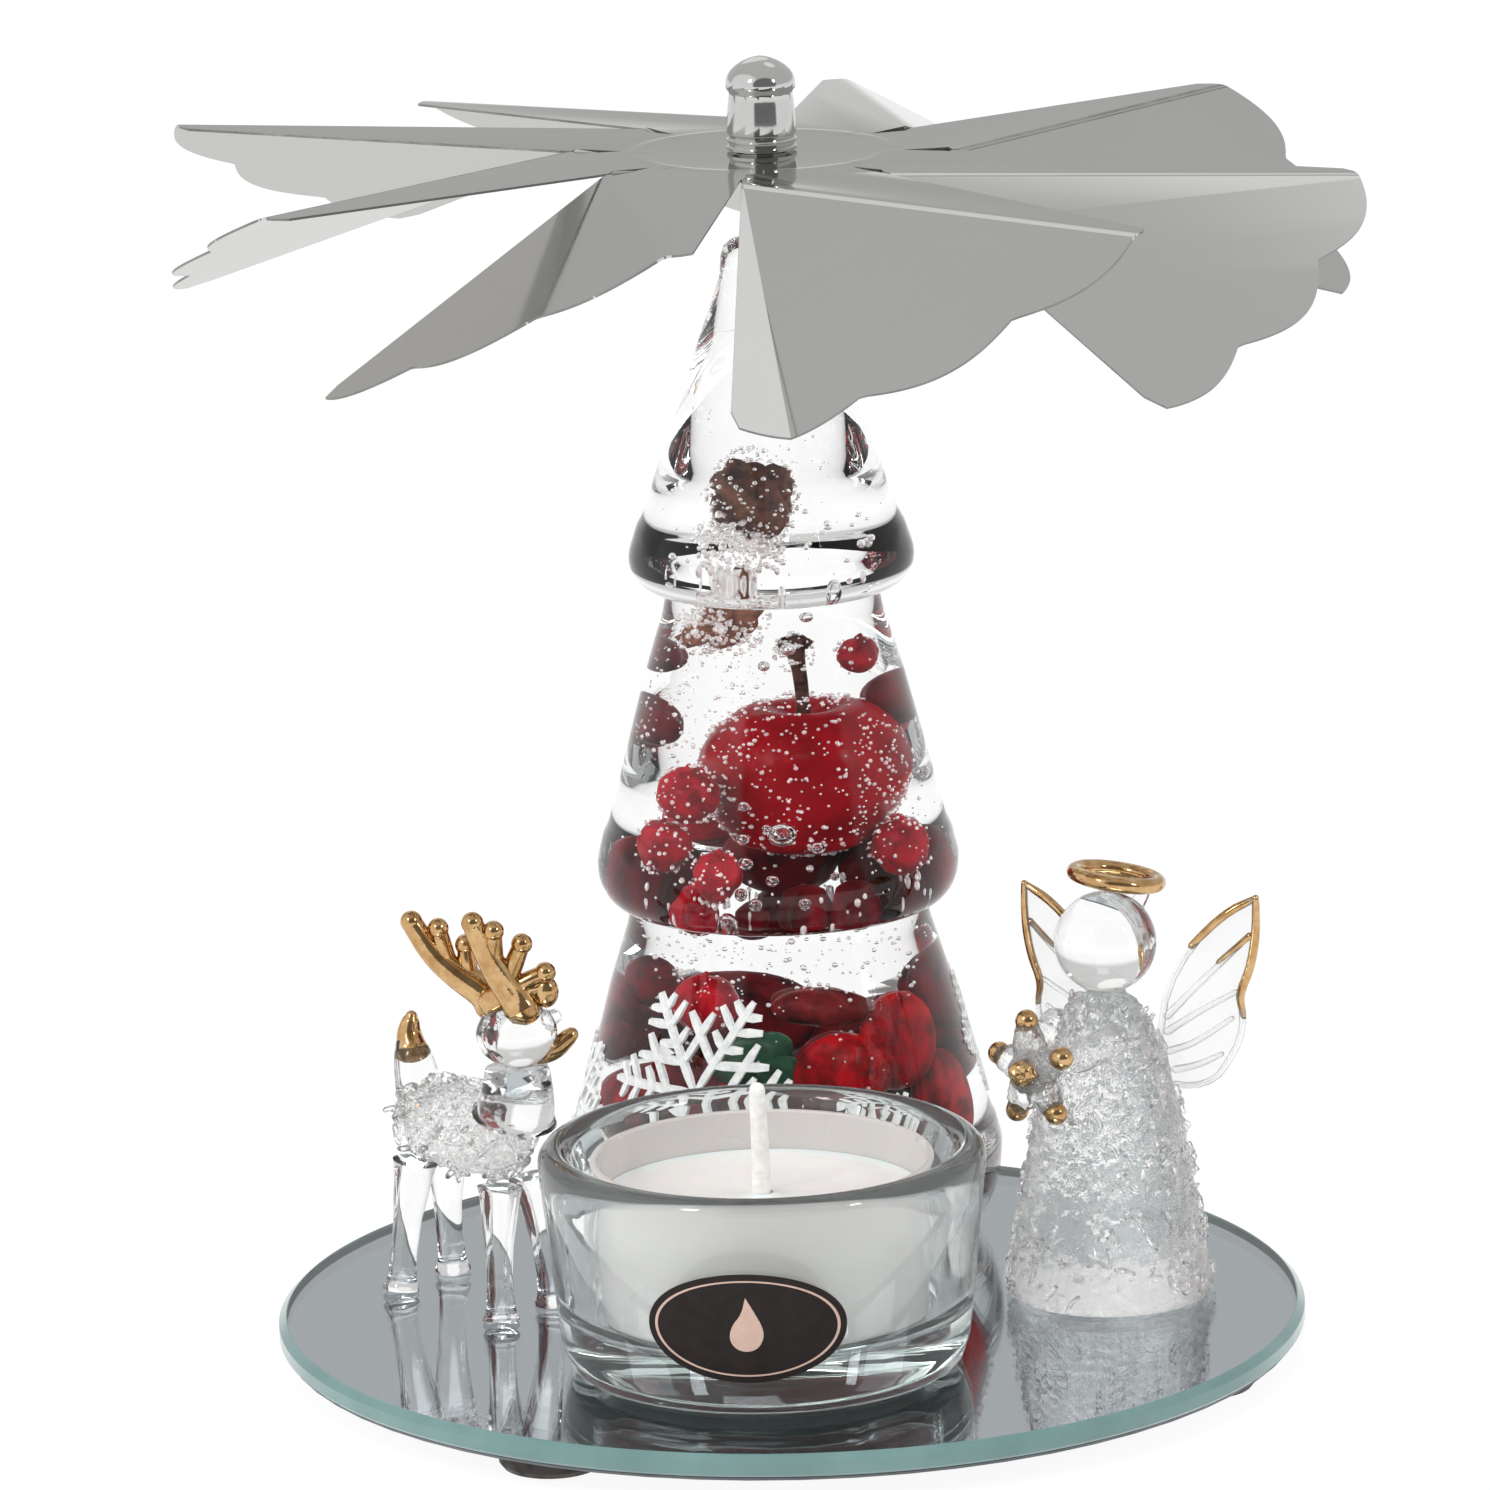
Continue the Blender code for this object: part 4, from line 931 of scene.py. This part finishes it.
def make_tealight():
    foot, rim, wide = HOLDER_FLOOR + GAP, CUP_RIM, CUP_RADIUS
    outline = [(0, foot), (17.9, foot), (18.6, foot + 0.25), (18.95, foot + 0.9), (wide - 0.35, rim - 0.7)]
    outline += [(wide - 0.05, rim - 0.55), (wide, rim - 0.25), (wide - 0.15, rim), (wide - 0.6, rim)]
    outline += [(wide - 0.8, rim - 0.2), (18.4, foot + 1.2), (18.2, foot + 0.7), (17.6, foot + 0.5)]
    outline.append((0, foot + 0.5))
    turned_piece("plastic_cup", outline, HOLDER, CUP, "tealight_cup", "cup_plastic", "tealight", segments=128)
    low, top = foot + 0.5 + GAP, WAX_TOP
    outline = [(17.5, low), (18.0, low + 0.6), (18.6, top + 0.25), (18.35, top + 0.2), (17.9, top - 0.02)]
    outline += [(17.0, top - 0.1), (11.0, top - 0.16), (4.0, top - 0.1), (2.4, top), (1.6, top + 0.35)]
    # Down the wick's hole to the room for its tinned foot
    outline += [(1.25, top + 0.5), (1.25, low + 3.2), (1.9, low + 3.0), (1.9, low + 0.7)]
    outline += [(6.3, low + 0.6), (6.3, low)]
    shape = {"segments": 128, "wobble": 0.02}
    turned_piece("wax_fill", outline, HOLDER, WAX, "tealight_wax", "wax", "tealight", **shape)
    base = HOLDER + Vector((0, 0, low + 0.5))
    tip = HOLDER + Vector((-0.35, 0, WICK_TOP - 0.3))
    kink = [base.lerp(tip, 0.62) + Vector((0.12, 0, 0)), base.lerp(tip, 0.8) + Vector((0.1, 0, 0))]
    mesh = bmesh.new()
    add_tube(mesh, [base, base.lerp(tip, 0.5), *kink, tip], [1.12, 1.1, 1.05, 0.98, 0.9], 24)
    for corner in mesh.verts:
        corner.co.x += 0.05 * noise.noise(corner.co * 0.8)
        corner.co.y += 0.05 * noise.noise(corner.co * 0.8 + Vector((9, 0, 0)))
    piece("wick_cord", mesh, COTTON, "wick", "tealight")


def add_threads(mesh, count, length, radius, spot_of):
    """Short curled glass threads laid on a surface. spot_of(u, v) gives a point and its normal."""
    steps = 5
    for _ in range(count):
        u, v = dice.random(), dice.random()
        heading = dice.uniform(0, 2 * math.pi)
        curl = dice.uniform(-2.6, 2.6)
        spot, normal = spot_of(u, v)
        across = normal.orthogonal().normalized()
        other = normal.cross(across)
        route = []
        for _ in range(steps + 1):
            direction = across * math.cos(heading) + other * math.sin(heading)
            route.append(spot + normal * dice.uniform(-0.1, 0.25))
            spot = spot + direction * length / steps
            heading += curl / steps
        add_tube(mesh, route, [radius * 0.7, radius, radius * 0.7], 6, smooth=1)


# The reindeer

deer_point = point_maker(DEER, DEER_HEADING)
# Each antler: its foot, then from there the bends of its beam, and the tips of its tines with their
# place along the beam
ANTLERS = (
    (
        "deer_antler_left", (-34.6, -1.2, 41.2), ((-3.2, 0.5, 2.0), (-6.2, 0.8, 4.6), (-8.4, 1.0, 8.4)),
        ((-5.3, 0.6, 7.6, 0.45), (-2.2, 0.6, 5.6, 0.2)),
    ),
    (
        "deer_antler_right", (-31.2, -4.6, 41.6), ((-1.6, -0.8, 2.6), (-3.2, -1.2, 5.6), (-4.6, -1.6, 9.2)),
        ((-2.2, -1.8, 8.2, 0.5), (1.0, -1.0, 6.4, 0.2), (3.6, -0.6, 2.8, 0.1)),
    ),
)


def make_deer_body():
    turn = Matrix.Rotation(DEER_HEADING, 3, "Z")
    centre = deer_point(-1.5, 0, 23.4)
    radii = (11.2, 4.9, 5.3)
    mesh = bmesh.new()
    add_ball(mesh, centre, [radius - 0.4 for radius in radii], 6, turn)
    crush(mesh, 1.6, 0.55)

    def coat(u, v):
        around, up = 2 * math.pi * u, math.acos(1 - 2 * v)
        unit = Vector((math.sin(up) * math.cos(around), math.sin(up) * math.sin(around), math.cos(up)))
        normal = scaled(unit, [1 / radius for radius in radii]).normalized()
        return centre + turn @ scaled(unit, radii), turn @ normal

    add_threads(mesh, 90, 3.0, 0.45, coat)
    piece("deer_coat", mesh, SPUN_GLASS, "deer_body")
    rump = [deer_point(-9.4, 0, 26.5), deer_point(-10.2, 0, 29.2), deer_point(-10.9, 0.1, 31.4)]
    tube_piece("deer_rump_glass", rump, [3.0, 2.5, 1.9], 24, FIGURE_GLASS, None, "figure_glass")
    tail = [deer_point(-10.7, 0.1, 31.3), deer_point(-11.4, 0.2, 33.0), deer_point(-11.0, 0.4, 35.0)]
    tube_piece("deer_tail_gold", tail, [1.9, 1.5, 0.75], 20, GOLD, "deer_tail", "gold_lustre")


def make_deer_head():
    neck = [deer_point(8.0, 0, 26.5), deer_point(8.8, 0, 29.5), deer_point(8.6, 0, 32.8)]
    sizes = [5.0, 4.2, 3.6]
    tube_piece("deer_neck_bar", neck, sizes, 40, FIGURE_GLASS, "deer_neck", "figure_glass", round_ends=False)
    mesh = bmesh.new()
    add_ball(mesh, deer_point(8.5, 0.3, 36.7), (4.7, 4.3, 4.1), 5, None, lumpy(1.1, 0.03, 2.0))
    add_tube(mesh, [deer_point(9.6, 3.4, 37.6), deer_point(10.3, 4.6, 38.2)], [1.3, 0.9], 18)
    piece("deer_head_glass", mesh, FIGURE_GLASS, "deer_head")
    snout = [deer_point(9.0, 2.2, 33.4), deer_point(10.6, 4.0, 34.2), deer_point(11.7, 5.8, 36.0)]
    tube_piece("deer_snout_gold", snout, [0.9, 1.25, 0.9], 18, GOLD, "deer_snout", "gold_lustre")
    for name, foot, beam, tines in ANTLERS:
        foot = Vector(foot)
        route = [foot + Vector((0.8, 0, -1.4)), foot] + [foot + Vector(step) for step in beam]
        mesh = bmesh.new()
        add_tube(mesh, route, [2.3, 2.1, 1.75, 1.4, 1.2], 20)
        add_ball(mesh, route[-1], [1.3] * 3, 3)
        for *tip, share in tines:
            place = share * (len(route) - 2) + 1
            start = route[int(place)].lerp(route[int(place) + 1], place - int(place))
            add_tube(mesh, [start, foot + Vector(tip)], [1.3, 1.0], 14)
            add_ball(mesh, foot + Vector(tip), [1.25] * 3, 3)
        if name.endswith("right"):
            brow = [(-33.6, -3.0, 40.6), (-31.2, -4.0, 42.0), (-28.6, -4.6, 42.6)]
            add_tube(mesh, brow, [1.9, 1.7, 1.2], 20)
            add_ball(mesh, (-27.6, -4.8, 42.0), (1.5, 1.3, 1.9), 3)
        piece(f"{name}_gold", mesh, GOLD, name)


def make_deer_legs():
    """Four bars that lean in and bow a little. Each is widest at its foot and where it meets the body."""
    low = PLATE_TOP + GAP
    profile = ((0, 2.15), (0.5, 2.1), (1.1, 1.75), (4, 1.55), (8, 1.65), (11, 2.1), (15.5, 2.7))
    top = profile[-1][0]
    for number, (ahead, left) in enumerate(((-8.3, -4.7), (-10.1, 4.7), (9.8, -4.4), (8.7, 4.4)), 1):
        route = []
        for rise, _ in profile:
            lean = 0.38 * rise / top
            bow = 0.5 * math.sin(math.pi * rise / top) * (1 if number == 4 else -0.5)
            route.append(deer_point(ahead * (1 - lean * 0.4) + bow, left * (1 - lean), low + rise))
        sizes = [radius for _, radius in profile]
        shape = {"smooth": 1, "round_ends": False}
        node = f"deer_leg_{number}"
        tube_piece(f"deer_leg_bar_{number}", route, sizes, 28, FIGURE_GLASS, node, "figure_glass", **shape)


# The angel

angel_point = point_maker(ANGEL, ANGEL_HEADING)
# A wing's outline and ribs, outwards and up from its root
WING = (
    (0, 0), (1.0, 6.0), (4.2, 11.5), (8.5, 15.6), (12.6, 17.6), (12.6, 13.0), (11.8, 8.5),
    (10.3, 5.2), (10.9, 2.4), (10.4, -0.6), (9.0, -3.2), (7.2, -5.6), (4.4, -6.6), (1.0, -6.2),
)
WING_RIBS = (
    ((1.0, 2.5), (5.5, 7.0), (11.6, 12.6)), ((1.0, 0.5), (5.0, 3.0), (10.0, 5.6)),
    ((1.2, -2.0), (4.6, -1.0), (9.4, 2.2)), ((2.0, -4.4), (5.0, -3.8), (8.0, -2.4)),
)
# The dress's side, as radius and height
DRESS = ((12.3, 4.4), (11.6, 8.0), (10.5, 14.0), (9.1, 23.5), (7.2, 31.0), (5.4, 35.6), (3.9, 38.0))


def make_wing(side, root, direction):
    size = Matrix.Diagonal((0.9, 1, 0.94, 1))
    place = Matrix.Translation(root) @ Matrix.Rotation(direction, 4, "Z") @ size
    smooth = softened(WING[:5], 1) + softened(WING[4:8], 1)[1:] + softened(WING[7:], 1)[1:]

    def placed(points, y=0.0):
        return [place @ Vector((x, y, z)) for x, z in points]

    mesh = bmesh.new()
    add_slab(mesh, *([mesh.verts.new(corner) for corner in placed(smooth, y)] for y in (-0.35, 0.35)))
    for rib in WING_RIBS:
        add_tube(mesh, placed(rib), [0.5, 0.42, 0.3], 12)
    add_tube(mesh, placed(smooth), [0.42], 12, True)
    piece(f"wing_glass_{side}", mesh, WING_GLASS, f"angel_wing_{side}")
    mesh = bmesh.new()
    for run, wide in ((WING[2:5], 0.5), (WING[4:9], 0.55)):
        add_tube(mesh, placed(run), [0.4, wide, wide, 0.3], 14)
    add_tube(mesh, placed(((7.6, 9.4), (9.6, 11.0), (11.8, 12.8)), -0.1), [0.25, 0.35, 0.45], 10)
    piece(f"wing_gold_{side}", mesh, GOLD, None)


def make_dress():
    foot = PLATE_TOP + GAP
    side = [(12.0, foot + 0.1), (12.35, foot + 0.5), *softened(DRESS, 1), (2.4, 39.0)]
    fine = []
    for first, second in zip(side, side[1:]):
        first, second = Vector(first), Vector(second)
        steps = max(1, int((second - first).length / 0.45))
        fine += [first.lerp(second, step / steps) for step in range(steps)]
    outline = [(0, foot), (11.6, foot), *((spot.x - 0.35, spot.y) for spot in fine), (2.2, 39.2), (0, 39.3)]
    mesh = bmesh.new()
    add_turned(mesh, outline, ANGEL, 168)
    crush(mesh, 1.4, 0.5, foot + 0.3)

    def cloth(u, v):
        height = 4.6 + 33.5 * v
        outward = polar(1.0, 2 * math.pi * u)
        spot = ANGEL + outward * (radius_at(DRESS, height) - 0.1) + Vector((0, 0, height))
        return spot, (outward + Vector((0, 0, 0.3))).normalized()

    add_threads(mesh, 240, 2.2, 0.36, cloth)
    piece("dress_spun_glass", mesh, SPUN_GLASS, "angel_dress")


def make_angel_head():
    mesh = bmesh.new()
    add_ball(mesh, ANGEL + Vector((0, 0, 45.2)), [5.95] * 3, 5, None, lumpy(0.8, 0.012, 5.0))
    piece("head_glass_ball", mesh, FIGURE_GLASS, "angel_head")
    halo = ANGEL + Vector((1.4, 0, 52.9))
    tilt = Matrix.Rotation(math.radians(-3), 3, "X") @ Matrix.Rotation(math.radians(9), 3, "Y")
    loop = [halo + tilt @ Vector((x, y, 0)) for x, y in arc((0, 0), (4.9, 4.9), 0, 355, 71)]
    tube_piece("halo_ring", loop, [0.92], 20, GOLD, "angel_halo", "gold_lustre", closed=True)
    post = [ANGEL + Vector(bend) for bend in ((3.6, 1.2, 48.8), (4.6, 1.4, 50.6), (5.2, 1.2, 52.0))]
    tube_piece("halo_post", post, [1.0, 0.8, 0.6], 16, FIGURE_GLASS, None, "figure_glass")


def make_arms_and_star():
    mesh = bmesh.new()
    for way in (-1, 1):
        bends = ((3.5, 5.0, 35.0), (7.6, 4.0, 33.4), (9.6, 1.4, 32.4))
        arm = [angel_point(ahead, left * way, height) for ahead, left, height in bends]
        add_tube(mesh, arm, [1.9, 1.7, 1.5], 18)
    crush(mesh, 1.2, 0.3)
    piece("arms_spun_glass", mesh, SPUN_GLASS, "angel_arms")
    middle = angel_point(11.4, 0, 31.8)
    facing = Matrix.Rotation(ANGEL_HEADING + math.radians(90), 3, "Z")
    tips = []
    for corner in range(5):
        turn = math.radians(98 + 72 * corner)
        tips.append(middle + facing @ Vector((5.2 * math.cos(turn), 0, 5.2 * math.sin(turn))))
    mesh = bmesh.new()
    add_ball(mesh, middle, [2.6] * 3)
    for tip in tips:
        add_tube(mesh, [middle, middle.lerp(tip, 0.6), tip], [2.1, 1.9, 1.3], 18)
    crush(mesh, 1.3, 0.35)
    piece("star_spun_glass", mesh, SPUN_GLASS, "angel_star")
    mesh = bmesh.new()
    for tip in tips:
        add_ball(mesh, tip + (tip - middle).normalized() * 0.7, [1.35] * 3, 3)
    add_ball(mesh, middle + Vector((-1.0, -1.8, 0.3)), (1.8, 1.3, 1.5), 4, None, lumpy(2.0, 0.2, 1.0))
    piece("star_gold_tips", mesh, GOLD, None)


# CAD nodes that stay as they are, with a finish


def finish_cad_nodes():
    for name, finish in (
        ("mirror_backing", BACK_PAINT), ("needle", STEEL), ("bearing_cup", FIGURE_GLASS),
        ("retaining_ring", STEEL), ("tree_plug", PLUG), ("wick_sustainer", TIN),
    ):
        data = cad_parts[name].data
        data.materials.clear()
        data.materials.append(finish)


# The studio


def make_world():
    """A pale horizon under a grey room, dark behind the camera, which polished metal and glass reflect."""
    world = bpy.data.worlds.new("studio")
    world.use_nodes = True
    scene.world = world
    tree = world.node_tree
    way = add(tree, "TexCoord").outputs["Generated"]
    height = add(tree, "SeparateXYZ", {"Vector": way}).outputs["Z"]
    span = {"Value": height, "From Min": 0.02, "From Max": 0.13}
    rise = add(tree, "MapRange", span, interpolation_type="SMOOTHSTEP")
    room = blend_of(tree, rise.outputs["Result"], (1.0, 1.0, 1.0), (0.625, 0.625, 0.625))
    # The pale wall on the left, the dark front, a strip lamp and the window behind, each as its
    # direction, its soft edge as cosines from there, and its shade
    for heading, edge, shade in (
        ((-0.86, -0.48, 0.2), (0.62, 0.74), 1.0),
        ((0.24, -0.955, 0.17), (0.72, 0.8), 0.2),
        ((0.291, 0.465, 0.836), (0.9848, 0.9925), 1.04),
        ((-0.08, 0.8, 0.594), (0.957, 0.974), 1.0),
    ):
        facing = add(tree, "VectorMath", {0: way, 1: heading}, operation="DOT_PRODUCT")
        span = {"Value": facing.outputs["Value"], "From Min": edge[0], "From Max": edge[1]}
        share = add(tree, "MapRange", span, interpolation_type="SMOOTHSTEP")
        mix = add(tree, "Mix", {"Factor": share.outputs["Result"]}, data_type="RGBA")
        tree.links.new(room, mix.inputs[6])
        mix.inputs[7].default_value = (shade, shade, shade, 1.0)
        room = mix.outputs[2]
    tree.links.new(room, tree.nodes["Background"].inputs["Color"])


def make_light(name, place, size, power, mirrored):
    data = bpy.data.lights.new(name, "AREA")
    data.shape = "RECTANGLE"
    data.size, data.size_y = size
    data.energy = power
    lamp = linked(name, data)
    lamp.location = place
    lamp.rotation_euler = (Vector((0, 0, 0.06)) - Vector(place)).to_track_quat("-Z", "Y").to_euler()
    lamp.visible_camera = False
    lamp.visible_glossy = mirrored


def make_lights():
    """Soft boxes and two windows, in metres and watts. Only the windows show in reflections."""
    make_light("softbox_left", (-1.4, -0.42, 0.85), (0.7, 0.9), 7.0, False)
    make_light("softbox_right", (1.4, -0.42, 0.85), (0.7, 0.9), 6.0, False)
    make_light("softbox_front", (-0.25, -1.2, 1.7), (0.9, 0.7), 13.0, False)
    make_light("window_left", (-0.9, -1.0, 1.0), (0.2, 0.34), 3.4, True)
    make_light("window_right", (1.05, -0.85, 0.85), (0.16, 0.3), 2.2, True)


def make_floor():
    """A white floor that mostly glows, so that it stays pale and takes only a soft shadow."""
    mesh = bmesh.new()
    bmesh.ops.create_circle(mesh, cap_ends=True, segments=96, radius=4.0)
    data = bpy.data.meshes.new("floor")
    mesh.to_mesh(data)
    mesh.free()
    made, _, shader = start_material("floor_paper")
    for key, value in (
        ("Base Color", (0.11, 0.11, 0.11, 1.0)), ("Roughness", 1.0), ("Specular IOR Level", 0.0),
        ("Emission Color", (1.0, 1.0, 1.0, 1.0)), ("Emission Strength", 0.92),
    ):
        shader.inputs[key].default_value = value
    data.materials.append(made)
    floor = linked("floor", data)
    floor.location = (0, 0, FLOOR_HEIGHT * MM)


def make_camera():
    data = bpy.data.cameras.new("camera")
    data.lens = 207.6
    data.sensor_width = 36.0
    data.clip_start, data.clip_end = 0.05, 20.0
    camera = linked("camera", data)
    place = Vector((-10.728, -964.166, 297.703)) * MM
    target = Vector((-3.868, -0.312, 69.598)) * MM
    aim = (target - place).to_track_quat("-Z", "Y").to_matrix().to_4x4()
    camera.matrix_world = Matrix.Translation(place) @ aim @ Matrix.Rotation(math.radians(-1.4), 4, "Z")
    scene.camera = camera


make_camera()
make_world()
make_lights()
make_floor()
scene.view_settings.view_transform = "Standard"
make_base()
make_tree()
make_fruit()
make_apple()
make_dried()
make_froth()
make_bubbles()
make_snowflakes()
make_rotor()
make_cap()
make_holder()
make_label()
make_tealight()
make_deer_body()
make_deer_head()
make_deer_legs()
make_dress()
make_angel_head()
make_wing("right", ANGEL + Vector((6.6, 6.6, 32.0)), math.radians(-6))
make_wing("left", ANGEL + Vector((1.2, 9.6, 32.0)), math.radians(150))
make_arms_and_star()
finish_cad_nodes()
